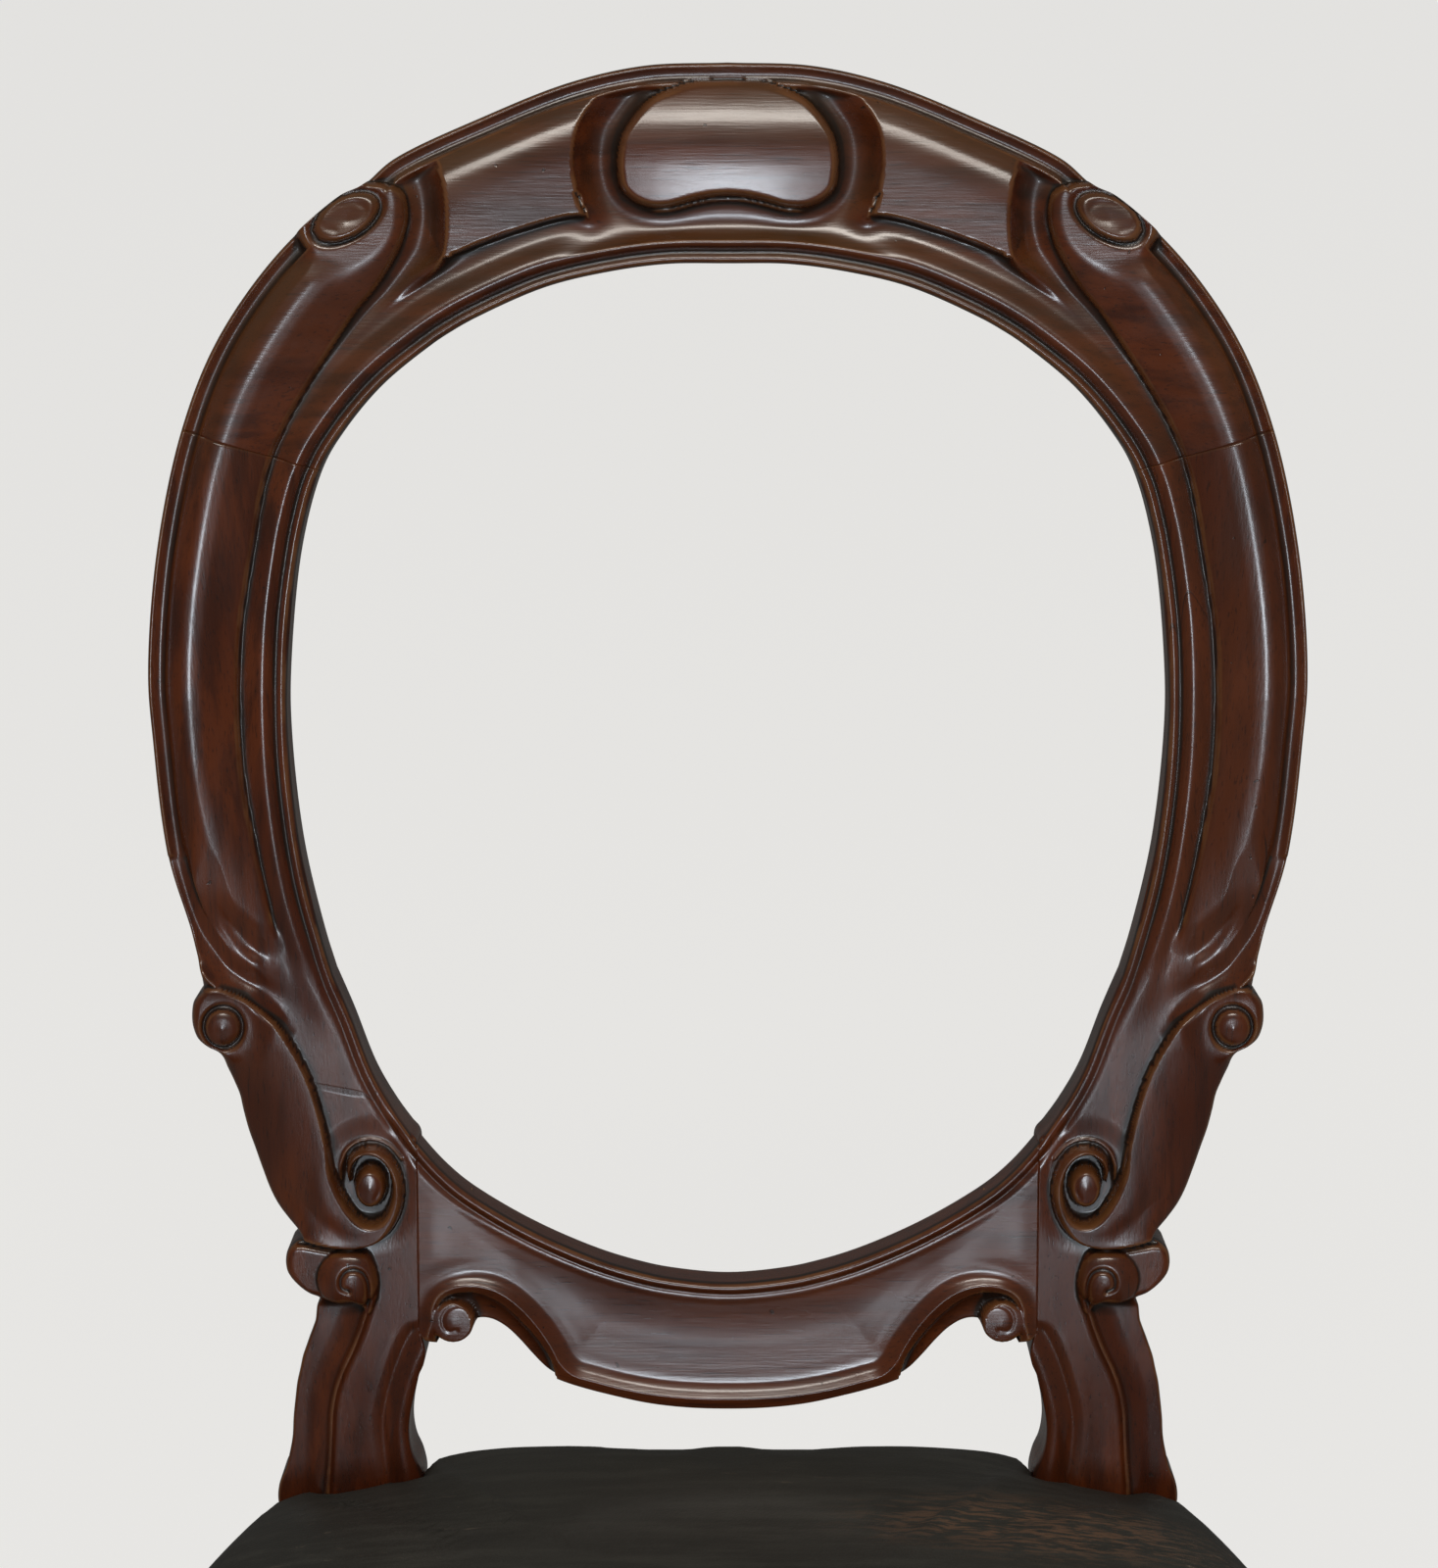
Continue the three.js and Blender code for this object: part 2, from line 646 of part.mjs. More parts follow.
// Across, top edge up, and bottom edge up, from the middle out to the joint.
const lowerRailShares = [
  [0, -0.735, -0.901],
  [0.109, -0.729, -0.899],
  [0.214, -0.709, -0.882],
  [0.317, -0.676, -0.854],
  [0.36, -0.659, -0.827],
  [0.4, -0.641, -0.797],
  [0.43, -0.628, -0.783],
  [0.455, -0.616, -0.79],
  [0.48, -0.602, -0.813],
  [0.515, -0.58, -0.815],
  [0.55, -0.558, -0.805],
];

// The rail's section from its top edge to its bottom edge: bead, groove, flat field, hollow, low bead.
const lowerRailSectionShares = [
  [0, -0.3], [0.04, 0.02], [0.1, 0.08], [0.15, -0.16], [0.2, 0], [0.45, 0.05], [0.68, -0.05],
  [0.8, -0.25], [0.88, 0.1], [0.95, 0.1], [1, -0.3],
];

function lowerRailBody() {
  const toTop = ([p, top]) => new THREE.Vector3(across(p), upBack(top), 0);
  const toBottom = ([p, , bottom]) => new THREE.Vector3(across(p), upBack(bottom), 0);
  const other = lowerRailShares.slice(1).reverse().map(([p, top, bottom]) => [-p, top, bottom]);
  const rows = [...other, ...lowerRailShares];
  const topEdge = new THREE.CatmullRomCurve3(rows.map(toTop), false, 'centripetal');
  const bottomEdge = new THREE.CatmullRomCurve3(rows.map(toBottom), false, 'centripetal');
  const count = 28;
  const rings = [];
  for (let i = 0; i <= count; i += 1) {
    const top = topEdge.getPoint(i / count);
    const bottom = bottomEdge.getPoint(i / count);
    bottom.x = top.x;
    const width = top.distanceTo(bottom);
    const section = sharedSection(lowerRailSectionShares, width);
    rings.push(backRing(top, bottom, section, HOOP_THICKNESS, 0));
  }
  return ringSolid(rings);
}

// The seat in plan

// The side from the front of the post to the widest place: across as a share of the way from the post's
// outer side to the half width, and forward from the rear edge as a share of the depth.
const seatSideShares = [[0, 0.07], [0.27, 0.18], [0.635, 0.345], [0.872, 0.515], [0.989, 0.7], [1, 0.85]];
// The front from there to its middle: across as a share of the half width.
const seatFrontShares = [
  [0.99, 0.93], [0.972, 0.957], [0.93, 0.972], [0.83, 0.981], [0.47, 0.993], [0, 1],
];
const POST_SIDE_X = across(0.8086);
const OUTLINE_STEPS = 20;
const REAR_X = across(0.6905);
const REAR_STEP_SHARE = 0.06;

const planPlace = (x, q) => new THREE.Vector3(x, SEAT_REAR_Y - q * SEAT_DEPTH, 0);
const sidePlace = ([p, q]) => planPlace(THREE.MathUtils.lerp(POST_SIDE_X, SEAT_HALF_WIDTH, p), q);
const frontPlace = ([p, q]) => planPlace(p * SEAT_HALF_WIDTH, q);

// The sides and the front of the seat frame, moved outwards by a distance: from the right post round
// the front to the left post.
function seatRun(grow) {
  const side = [...seatSideShares.map(sidePlace), ...seatFrontShares.map(frontPlace)];
  const other = side.slice(0, -1).reverse().map((at) => new THREE.Vector3(-at.x, at.y, 0));
  const curve = new THREE.CatmullRomCurve3([...side, ...other], false, 'centripetal');
  const places = curve.getPoints(2 * OUTLINE_STEPS);
  return places.map((at, i) => {
    const before = places[Math.max(0, i - 1)];
    const after = places[Math.min(places.length - 1, i + 1)];
    const along = after.clone().sub(before).normalize();
    return new THREE.Vector2(at.x - along.y * grow, at.y + along.x * grow);
  });
}

// The whole outline: the run, then across the back between the posts. Its steps lie inside the posts.
function seatOutline(grow) {
  const steps = [
    planPlace(-REAR_X, REAR_STEP_SHARE),
    planPlace(-REAR_X, 0),
    planPlace(REAR_X, 0),
    planPlace(REAR_X, REAR_STEP_SHARE),
  ];
  const rear = steps.map((at, i) => new THREE.Vector2(at.x, at.y + (i === 1 || i === 2 ? grow : 0)));
  return [...seatRun(grow), ...rear];
}

// The part of the seat outline on one side, between two shares of its run, with an inner face.
function railOutline(fromShare, toShare, grow, thickness) {
  const from = Math.round(fromShare * OUTLINE_STEPS);
  const to = Math.round(toShare * OUTLINE_STEPS);
  const outer = seatRun(grow).slice(from, to + 1);
  const inner = seatRun(-thickness).slice(from, to + 1);
  return [...outer, ...inner.reverse()];
}

// A seat rail: upholstered above, and below it a polished face that stands proud of the leather's seat.
function railBody(fromShare, toShare, grow = 0) {
  const thickness = RAIL_THICKNESS + grow;
  const upper = board(railOutline(fromShare, toShare, grow, thickness), RAIL_BOTTOM, RAIL_TOP + grow);
  const proud = SHOW_WOOD_PROUD + grow;
  const lower = board(railOutline(fromShare, toShare, proud, thickness), RAIL_BOTTOM - grow, SHOW_WOOD_TOP);
  return upper.add(lower);
}

// Front leg: a square block at the rails, then a cabriole that swells at the knee, narrows to the
// ankle and turns out again at the toe

const LEG_X = SEAT_HALF_WIDTH - LEG_INSET_X;
const LEG_Y = SEAT_REAR_Y - SEAT_DEPTH + LEG_INSET_Y;

// Height as a share of the rails' top, throw towards the corner as a share of the knee's, width as a
// share of the block's, and squareness.
const cabrioleShares = [
  [1, 0, 1, 7], [0.85, 0, 1, 7], [0.835, 0.08, 1.02, 5], [0.8, 0.55, 1.1, 3.4], [0.75, 0.92, 1.13, 2.8],
  [0.69, 1, 1.08, 2.6], [0.6, 0.82, 0.95, 2.5], [0.5, 0.4, 0.82, 2.4], [0.38, -0.1, 0.69, 2.3],
  [0.27, -0.42, 0.59, 2.2], [0.18, -0.5, 0.53, 2.1], [0.12, -0.35, 0.53, 2.1], [0.08, 0, 0.6, 2.1],
  [0.05, 0.45, 0.74, 2.2], [0.025, 0.7, 0.82, 2.2], [0.008, 0.68, 0.76, 2.2], [0, 0.62, 0.66, 2.2],
];

function frontLegBody(grow = 0) {
  const sides = 20;
  const rings = cabrioleShares.map(([heightShare, throwShare, widthShare, power]) => {
    const out = throwShare * KNEE_THROW * Math.SQRT1_2;
    const half = widthShare * LEG_BLOCK / 2 + grow;
    const ring = [];
    for (let i = 0; i < sides; i += 1) {
      const turn = 2 * Math.PI * (i + 0.5) / sides;
      const c = Math.cos(turn);
      const s = Math.sin(turn);
      const reach = half / (Math.abs(c) ** power + Math.abs(s) ** power) ** (1 / power);
      const height = heightShare * RAIL_TOP + (heightShare === 1 ? grow : 0);
      ring.push(new THREE.Vector3(LEG_X + out + reach * c, LEG_Y - out + reach * s, height));
    }
    return ring;
  });
  return ringSolid(rings);
}

// Tenons: centre, and the turn of their length away from the X axis

const TENON_CENTRE_Z = (RAIL_TOP + RAIL_BOTTOM) / 2;

function tenon(centre, turn, grow = 0) {
  const size = new THREE.Vector3(
    TENON_LENGTH + TENON_ROOT + 2 * grow,
    TENON_THICKNESS + 2 * grow,
    TENON_HEIGHT + 2 * grow,
  );
  return block(new THREE.Vector3(centre.x, centre.y, TENON_CENTRE_Z), size, turn);
}

// Half the tenon's tongue lies past the shoulder, and its root lies inside the rail.
const TENON_SHIFT = (TENON_LENGTH - TENON_ROOT) / 2;
const FRONT_TENON = {
  centre: new THREE.Vector2(LEG_X - LEG_BLOCK / 2 + TENON_SHIFT, LEG_Y - LEG_BLOCK / 4),
  turn: 0,
};
const SIDE_TENON = {
  centre: new THREE.Vector2(LEG_X + LEG_BLOCK / 5, LEG_Y + LEG_BLOCK / 2 - TENON_SHIFT),
  turn: Math.PI / 2,
};
const REAR_TENON_SHARE = 0.742;
const REAR_SIDE_TURN = THREE.MathUtils.degToRad(110);
const REAR_SIDE_TENON = {
  centre: new THREE.Vector2(across(REAR_TENON_SHARE), LEG_TURN_Y + TENON_SHIFT / 2),
  turn: REAR_SIDE_TURN,
};
const BACK_TENON = {
  centre: new THREE.Vector2(across(0.57) + TENON_SHIFT - TENON_THICKNESS / 4, SEAT_REAR_Y - RAIL_THICKNESS / 2),
  turn: 0,
};

function tenonOf({ centre, turn }, grow = 0) {
  return tenon(centre, turn, grow);
}

// Shares of the outline's run: 0 at the right post, 1 at the middle of the front, 2 at the left post
const SIDE_FROM_SHARE = 0;
const SIDE_TO_SHARE = 0.5;
const FRONT_FROM_SHARE = 0.8;

const stileClear = stileBody(GAP);
const legClear = frontLegBody(GAP);

function sideRailSolid() {
  const body = railBody(SIDE_FROM_SHARE, SIDE_TO_SHARE);
  return body.subtract(stileClear).subtract(legClear).add(tenonOf(SIDE_TENON)).add(tenonOf(REAR_SIDE_TENON));
}

function frontRailSolid() {
  let body = railBody(FRONT_FROM_SHARE, 2 - FRONT_FROM_SHARE);
  body = body.subtract(legClear).subtract(mirrored(legClear));
  body = body.subtract(apronTool());
  const tongue = tenonOf(FRONT_TENON);
  return body.add(tongue).add(mirrored(tongue));
}

// The shallow arch under the front rail.
function apronTool() {
  const points = [];
  const steps = 16;
  for (let i = 0; i <= steps; i += 1) {
    const x = -APRON_HALF_WIDTH + 2 * APRON_HALF_WIDTH * i / steps;
    const rise = APRON_RISE * (1 + Math.cos(Math.PI * x / APRON_HALF_WIDTH)) / 2;
    points.push(new THREE.Vector2(x, rise));
  }
  points.push(new THREE.Vector2(APRON_HALF_WIDTH, -OVERRUN));
  points.push(new THREE.Vector2(-APRON_HALF_WIDTH, -OVERRUN));
  const geometry = new THREE.ExtrudeGeometry(new THREE.Shape(points), {
    depth: 2 * OVERRUN + RAIL_THICKNESS,
    bevelEnabled: false,
    steps: 1,
  });
  geometry.rotateX(Math.PI / 2);
  geometry.translate(0, SEAT_REAR_Y - SEAT_DEPTH + OVERRUN + RAIL_THICKNESS, RAIL_BOTTOM);
  return solidFromGeometry(geometry);
}

function backRailBody(grow = 0) {
  const size = new THREE.Vector3(
    2 * across(RAIL_JOINT_SHARE) + LEG_BLOCK,
    RAIL_THICKNESS + 2 * grow,
    RAIL_TOP - RAIL_BOTTOM + 2 * grow,
  );
  return block(new THREE.Vector3(0, SEAT_REAR_Y - RAIL_THICKNESS / 2, TENON_CENTRE_Z), size);
}

function backRailSolid() {
  const tongue = tenonOf(BACK_TENON);
  const body = backRailBody().subtract(stileClear).subtract(mirrored(stileClear));
  return largestOf(body).add(tongue).add(mirrored(tongue));
}

// The largest of the pieces that a cut leaves.
function largestOf(solid) {
  const parts = solid.decompose();
  return parts.reduce((best, part) => (part.volume() > best.volume() ? part : best));
}

// Corner blocks and their screws

const FRONT_BLOCK_INNER_Y = SEAT_REAR_Y - SEAT_DEPTH + RAIL_THICKNESS;
const REAR_BLOCK_ACROSS_SHARE = 0.36;
const REAR_BLOCK_RUN_SHARE = 0.1;

// A three-sided block behind the front leg. Its outer corners lie in the rails, which cut it to fit.
function frontCornerBlock() {
  const corner = new THREE.Vector2(SEAT_HALF_WIDTH, SEAT_REAR_Y - SEAT_DEPTH);
  const reach = BLOCK_REACH + RAIL_THICKNESS;
  const outline = [
    new THREE.Vector2(LEG_X, LEG_Y),
    new THREE.Vector2(corner.x - RAIL_THICKNESS / 2, corner.y + reach),
    new THREE.Vector2(corner.x - RAIL_THICKNESS, corner.y + reach),
    new THREE.Vector2(corner.x - reach, corner.y + RAIL_THICKNESS),
    new THREE.Vector2(corner.x - reach, corner.y + RAIL_THICKNESS / 2),
  ];
  let solid = board(outline, BLOCK_BOTTOM, BLOCK_TOP);
  solid = solid.subtract(railBody(FRONT_FROM_SHARE, 2 - FRONT_FROM_SHARE, GAP));
  solid = solid.subtract(railBody(SIDE_FROM_SHARE, SIDE_TO_SHARE, GAP)).subtract(legClear);
  return largestOf(solid);
}

// The block in front of the post, between the back rail and the side rail.
function rearCornerBlock() {
  const last = Math.round(REAR_BLOCK_RUN_SHARE * OUTLINE_STEPS);
  const railMiddle = seatRun(-RAIL_THICKNESS / 2).slice(0, last + 1);
  const inner = SEAT_REAR_Y - RAIL_THICKNESS;
  const outline = [new THREE.Vector2(across(REAR_BLOCK_ACROSS_SHARE), inner + GAP), ...railMiddle];
  let solid = board(outline, BLOCK_BOTTOM, BLOCK_TOP);
  solid = solid.subtract(railBody(SIDE_FROM_SHARE, SIDE_TO_SHARE, GAP));
  solid = solid.subtract(backRailBody(GAP)).subtract(stileClear).subtract(tenonOf(REAR_SIDE_TENON, GAP));
  return largestOf(solid);
}

const screwHeight = (BLOCK_BOTTOM + BLOCK_TOP) / 2;
// Where each screw of a right-hand corner starts, and the way it is driven: into the front rail, the
// side rail from the front block, the back rail, and the side rail from the rear block.
const screwPlaces = [
  {
    block: 'front',
    rail: 'front_seat_rail',
    start: new THREE.Vector3(SEAT_HALF_WIDTH - BLOCK_REACH, FRONT_BLOCK_INNER_Y + BLOCK_REACH / 3, screwHeight),
    direction: new THREE.Vector3(0, -1, 0),
  },
  {
    block: 'front',
    rail: 'side_seat_rail',
    start: new THREE.Vector3(LEG_X - BLOCK_REACH / 3, FRONT_BLOCK_INNER_Y + BLOCK_REACH * 2 / 3, screwHeight),
    direction: new THREE.Vector3(1, 0, 0),
  },
  {
    block: 'rear',
    rail: 'back_seat_rail',
    start: new THREE.Vector3(across(0.47), SEAT_REAR_Y - RAIL_THICKNESS - BLOCK_REACH / 6, screwHeight),
    direction: new THREE.Vector3(0, 1, 0),
  },
  {
    block: 'rear',
    rail: 'side_seat_rail',
    start: new THREE.Vector3(across(0.615), SEAT_REAR_Y - RAIL_THICKNESS - BLOCK_REACH * 0.41, screwHeight),
    direction: new THREE.Vector3(Math.sin(REAR_SIDE_TURN), -Math.cos(REAR_SIDE_TURN), 0),
  },
];

function screwSolid({ start, direction }, grow = 0) {
  const profile = [
    [0, -grow],
    [SCREW_HEAD_RADIUS + grow, -grow],
    [SCREW_SHANK_RADIUS + grow, SCREW_HEAD_LENGTH],
    [SCREW_SHANK_RADIUS + grow, SCREW_LENGTH - SCREW_HEAD_LENGTH],
    [0, SCREW_LENGTH + grow],
  ];
  return turnedAlong(profile, start, direction, 8);
}

// The hole for a screw, with the way in for its head.
function screwHole(place) {
  const away = place.direction.clone().negate();
  const mouth = turnedAlong(
    [[0, -GAP], [SCREW_HEAD_RADIUS + GAP, -GAP], [SCREW_HEAD_RADIUS + GAP, OVERRUN], [0, OVERRUN]],
    place.start,
    away,
    8,
  );
  return screwSolid(place, GAP).add(mouth);
}

function drill(solid, isDrilled) {
  return screwPlaces.filter(isDrilled).reduce((left, place) => left.subtract(screwHole(place)), solid);
}

// The upholstery: webbing, hessian, stuffing and leather, from the rails up

const webBase = RAIL_TOP + GAP + WEB_THICKNESS / 2;
const webCountAlong = 4;
const webCountAcross = 3;
const webCentreY = SEAT_REAR_Y - SEAT_DEPTH / 2;

// A strip of webbing: it lies on the rails at both ends and passes over and under the strips it crosses.
function webStrip(isAlong, index) {
  const count = isAlong ? webCountAlong : webCountAcross;
  const spacing = isAlong ? WEB_SPACING_X : WEB_SPACING_Y;
  const crossings = isAlong ? webCountAcross : webCountAlong;
  const crossSpacing = isAlong ? WEB_SPACING_Y : WEB_SPACING_X;
  const centre = (index - (count - 1) / 2) * spacing + (isAlong ? 0 : webCentreY);
  const { from, to, middle } = webReach(isAlong, centre);
  const stations = [[from, webBase]];
  for (let i = 0; i < crossings; i += 1) {
    const isOver = ((i + index) % 2 === 0) === isAlong;
    const at = middle + (i - (crossings - 1) / 2) * crossSpacing;
    const height = webBase + (isOver ? WEB_WEAVE : 0);
    stations.push([at - WEB_WIDTH / 2 - GAP, height], [at + WEB_WIDTH / 2 + GAP, height]);
  }
  stations.push([to, webBase]);
  const half = WEB_WIDTH / 2;
  const corners = [[-half, -1], [half, -1], [half, 1], [-half, 1]];
  const rings = stations.map(([run, height]) => corners.map(([side, level]) => {
    const z = height + level * WEB_THICKNESS / 2;
    return isAlong ? new THREE.Vector3(centre + side, run, z) : new THREE.Vector3(run, centre + side, z);
  }));
  return ringSolid(rings);
}

// How far a strip runs: onto the rails at both ends.
function webReach(isAlong, centre) {
  if (isAlong) {
    const from = SEAT_REAR_Y - SEAT_DEPTH + RAIL_THICKNESS - WEB_LAP;
    const to = SEAT_REAR_Y - RAIL_THICKNESS + WEB_LAP;
    return { from, to, middle: webCentreY };
  }
  const inner = seatOutline(-RAIL_THICKNESS);
  const widths = inner.filter((at) => Math.abs(at.y - centre) < WEB_WIDTH / 2).map((at) => Math.abs(at.x));
  const half = Math.min(...widths) + WEB_LAP;
  return { from: -half, to: half, middle: 0 };
}

const POST_MIDDLE_SHARE = 0.69;
const POST_INNER_SHARE = 0.56;
const SIDE_HEIGHT_SHARE = 0.1;
const hessianBottom = RAIL_TOP + 2 * GAP + WEB_THICKNESS + WEB_WEAVE;
const padBottom = hessianBottom + HESSIAN_THICKNESS + GAP;
const coverBottom = SHOW_WOOD_TOP + GAP;

// The leather's face: share of the way out from the seat's middle, outward swell, and height share
// between the seat's edge and its crown.
const domeShares = [
  [0.15, 0, 0.99], [0.4, 0, 0.92], [0.62, 0, 0.8], [0.78, 0, 0.68], [0.88, 0, 0.56], [0.95, 0.1, 0.38],
  [0.985, 0.5, 0.16], [1, 1, -0.1], [1, 0.8, -0.5],
];

function domePlace(edge, [share, , heightShare], inset) {
  const middle = new THREE.Vector2(0, SEAT_REAR_Y - SEAT_DEPTH / 2);
  const at = middle.clone().lerp(edge, share);
  const post = new THREE.Vector2(Math.abs(at.x) - across(POST_MIDDLE_SHARE), at.y - POST_FRONT_Y);
  const depth = POST_TUCK * Math.min(1, Math.max(0, 2 * heightShare));
  const tuck = depth * Math.exp(-post.lengthSq() / POST_TUCK_REACH ** 2);
  return new THREE.Vector3(at.x, at.y, SEAT_EDGE_HEIGHT + heightShare * SEAT_CROWN_RISE - tuck - inset);
}

// Rings of the leather's face, drawn in by an inset where the face stands up and let down by it on top.
function domeRings(inset, rows) {
  return rows.map((row) => {
    const [, swell, heightShare] = row;
    const side = heightShare < SIDE_HEIGHT_SHARE;
    const grow = GAP + LEATHER_THICKNESS + SEAT_SIDE_SWELL * swell - inset;
    return seatOutline(grow).map((edge) => domePlace(edge, row, side ? 0 : inset));
  });
}

function crownPoint(inset) {
  const y = SEAT_REAR_Y - SEAT_DEPTH / 2;
  return new THREE.Vector3(0, y, SEAT_CROWN_HEIGHT - inset);
}

function levelRing(grow, height) {
  return seatOutline(grow).map((at) => new THREE.Vector3(at.x, at.y, height));
}

function leatherCover() {
  const topRows = domeShares.slice(0, -1);
  const outer = domeRings(0, topRows);
  const inner = domeRings(LEATHER_THICKNESS, topRows).reverse();
  const low = (RAIL_TOP + coverBottom) / 2;
  const rings = [
    ...outer,
    levelRing(GAP + LEATHER_THICKNESS + SEAT_SIDE_SWELL / 2, low),
    levelRing(GAP + LEATHER_THICKNESS, coverBottom),
    levelRing(GAP, coverBottom),
    levelRing(GAP, low),
    ...inner,
  ];
  const solid = ringSolid(rings, crownPoint(0), crownPoint(LEATHER_THICKNESS));
  return largestOf(cutRoundPosts(solid, GAP));
}

// The leather and the stuffing end at the posts, with nothing carried round behind them.
function cutRoundPosts(solid, clearance) {
  const size = new THREE.Vector3(2 * OVERRUN, OVERRUN, SEAT_CROWN_HEIGHT);
  const x = across(POST_INNER_SHARE) + OVERRUN;
  const y = SEAT_REAR_Y - POST_DEPTH / 4 + OVERRUN / 2;
  const behind = block(new THREE.Vector3(x, y, SEAT_CROWN_HEIGHT / 2), size);
  const tool = stileBody(clearance).add(behind);
  return solid.subtract(tool).subtract(mirrored(tool));
}

function stuffingPad() {
  const inset = LEATHER_THICKNESS + PAD_EASE;
  const rows = domeShares.slice(0, -2);
  const rings = domeRings(inset, rows);
  rings.push(levelRing(-GAP, padBottom));
  const bottom = new THREE.Vector3(0, SEAT_REAR_Y - SEAT_DEPTH / 2, padBottom);
  const solid = ringSolid(rings, crownPoint(inset), bottom);
  return largestOf(cutRoundPosts(solid, POST_STUFFING_GAP));
}

function hessianSheet() {
  const solid = board(seatOutline(-HESSIAN_INSET), hessianBottom, hessianBottom + HESSIAN_THICKNESS);
  return largestOf(cutRoundPosts(solid, POST_STUFFING_GAP));
}

// The banding over the leather's lower edge: round the front and the sides, and across the back.
function bandingSolids() {
  const clear = GAP + LEATHER_THICKNESS + GAP;
  const top = coverBottom + BANDING_HEIGHT;
  const swellAt = (height) => SEAT_SIDE_SWELL / 2 * (height - coverBottom) / (top - coverBottom);
  const lean = swellAt(top);
  const outer = seatRun(clear + lean + BANDING_THICKNESS);
  const inner = seatRun(clear + lean);
  const round = board([...outer, ...inner.reverse()], coverBottom, top);
  const cut = round.subtract(stileClear).subtract(mirrored(stileClear));
  const backY = SEAT_REAR_Y + clear + lean + BANDING_THICKNESS / 2;
  const size = new THREE.Vector3(2 * across(RAIL_JOINT_SHARE) + LEG_BLOCK, BANDING_THICKNESS, BANDING_HEIGHT);
  const rear = block(new THREE.Vector3(0, backY, (coverBottom + top) / 2), size);
  const rearCut = rear.subtract(stileClear).subtract(mirrored(stileClear));
  return { round: largestOf(cut), rear: largestOf(rearCut) };
}

// Putting the chair together

function buildBack() {
  const eye = shoulderEye();
  const valley = tubeOnBack(valleyShares, VALLEY_RADIUS, VALLEY_LIFT, 10, 10);
  let crest = crestBody().subtract(ringPocket()).add(cartouche());
  crest = crest.subtract(valley).subtract(mirrored(valley)).add(eye).add(mirrored(eye));
  const crestPins = crestDowelShares.map((share) => crestDowel(share));
  crestDowelShares.forEach((share) => {
    const hole = crestDowel(share, GAP);
    crest = crest.subtract(hole).subtract(mirrored(hole));
  });
  addPiece('crest_rail', crest, MAHOGANY);

  let lowerRail = lowerRailBody().subtract(stileClear).subtract(mirrored(stileClear));
  lowerRail = largestOf(lowerRail);
  const railVolute = volute(RAIL_VOLUTE);
  lowerRail = lowerRail.add(railVolute).add(mirrored(railVolute));
  let stile = stileBody().add(volute(LEAF_VOLUTE)).add(volute(KNOB_VOLUTE));
  const railPins = railDowelUpShares.map((share) => railDowel(share));
  railDowelUpShares.forEach((share) => {
    const hole = railDowel(share, GAP);
    lowerRail = lowerRail.subtract(hole).subtract(mirrored(hole));
    stile = stile.subtract(hole);
  });
  crestDowelShares.forEach((share) => { stile = stile.subtract(crestDowel(share, GAP)); });
  lowerRail = lowerRail.subtract(volute(LEAF_VOLUTE)).subtract(mirrored(volute(LEAF_VOLUTE)));
  stile = stile.subtract(tenonOf(REAR_SIDE_TENON, GAP)).subtract(tenonOf(BACK_TENON, GAP));
  addPiece('lower_back_rail', lowerRail, MAHOGANY);
  addPiece('back_stile_right', stile, MAHOGANY);
  addPiece('back_stile_left', mirrored(stile), MAHOGANY);
  crestPins.forEach((pin, i) => {
    addPiece(`crest_dowel_right_${i + 1}`, pin, DOWEL_WOOD);
    addPiece(`crest_dowel_left_${i + 1}`, mirrored(pin), DOWEL_WOOD);
  });
  railPins.forEach((pin, i) => {
    addPiece(`rail_dowel_right_${i + 1}`, pin, DOWEL_WOOD);
    addPiece(`rail_dowel_left_${i + 1}`, mirrored(pin), DOWEL_WOOD);
  });
}

function buildSeatFrame() {
  const frontScrews = (place) => place.rail === 'front_seat_rail';
  const sideScrews = (place) => place.rail === 'side_seat_rail';
  const backScrews = (place) => place.rail === 'back_seat_rail';
  let front = drill(frontRailSolid(), frontScrews);
  front = mirrored(drill(mirrored(front), frontScrews));
  addPiece('front_seat_rail', front, MAHOGANY);
  const side = drill(sideRailSolid(), sideScrews);
  addPiece('side_seat_rail_right', side, MAHOGANY);
  addPiece('side_seat_rail_left', mirrored(side), MAHOGANY);
  let back = drill(backRailSolid(), backScrews);
  back = mirrored(drill(mirrored(back), backScrews));
  addPiece('back_seat_rail', back, RAIL_WOOD);

  const upper = board(seatOutline(0), SHOW_WOOD_TOP, RAIL_TOP + OVERRUN);
  const lower = board(seatOutline(SHOW_WOOD_PROUD), RAIL_BOTTOM, SHOW_WOOD_TOP);
  const floor = block(
    new THREE.Vector3(LEG_X, LEG_Y, RAIL_BOTTOM / 2),
    new THREE.Vector3(3 * LEG_BLOCK, 3 * LEG_BLOCK, RAIL_BOTTOM),
  );
  let leg = frontLegBody().intersect(upper.add(lower).add(floor));
  leg = leg.subtract(tenonOf(FRONT_TENON, GAP)).subtract(tenonOf(SIDE_TENON, GAP));
  addPiece('front_leg_right', leg, MAHOGANY);
  addPiece('front_leg_left', mirrored(leg), MAHOGANY);

  const frontBlock = drill(frontCornerBlock(), (place) => place.block === 'front');
  const rearBlock = drill(rearCornerBlock(), (place) => place.block === 'rear');
  addPiece('corner_block_front_right', frontBlock, RAIL_WOOD);
  addPiece('corner_block_front_left', mirrored(frontBlock), RAIL_WOOD);
  addPiece('corner_block_rear_right', rearBlock, RAIL_WOOD);
  addPiece('corner_block_rear_left', mirrored(rearBlock), RAIL_WOOD);
  screwPlaces.forEach((place, i) => {
    const screw = screwSolid(place);
    addPiece(`corner_screw_right_${i + 1}`, screw, STEEL);
    addPiece(`corner_screw_left_${i + 1}`, mirrored(screw), STEEL);
  });
}

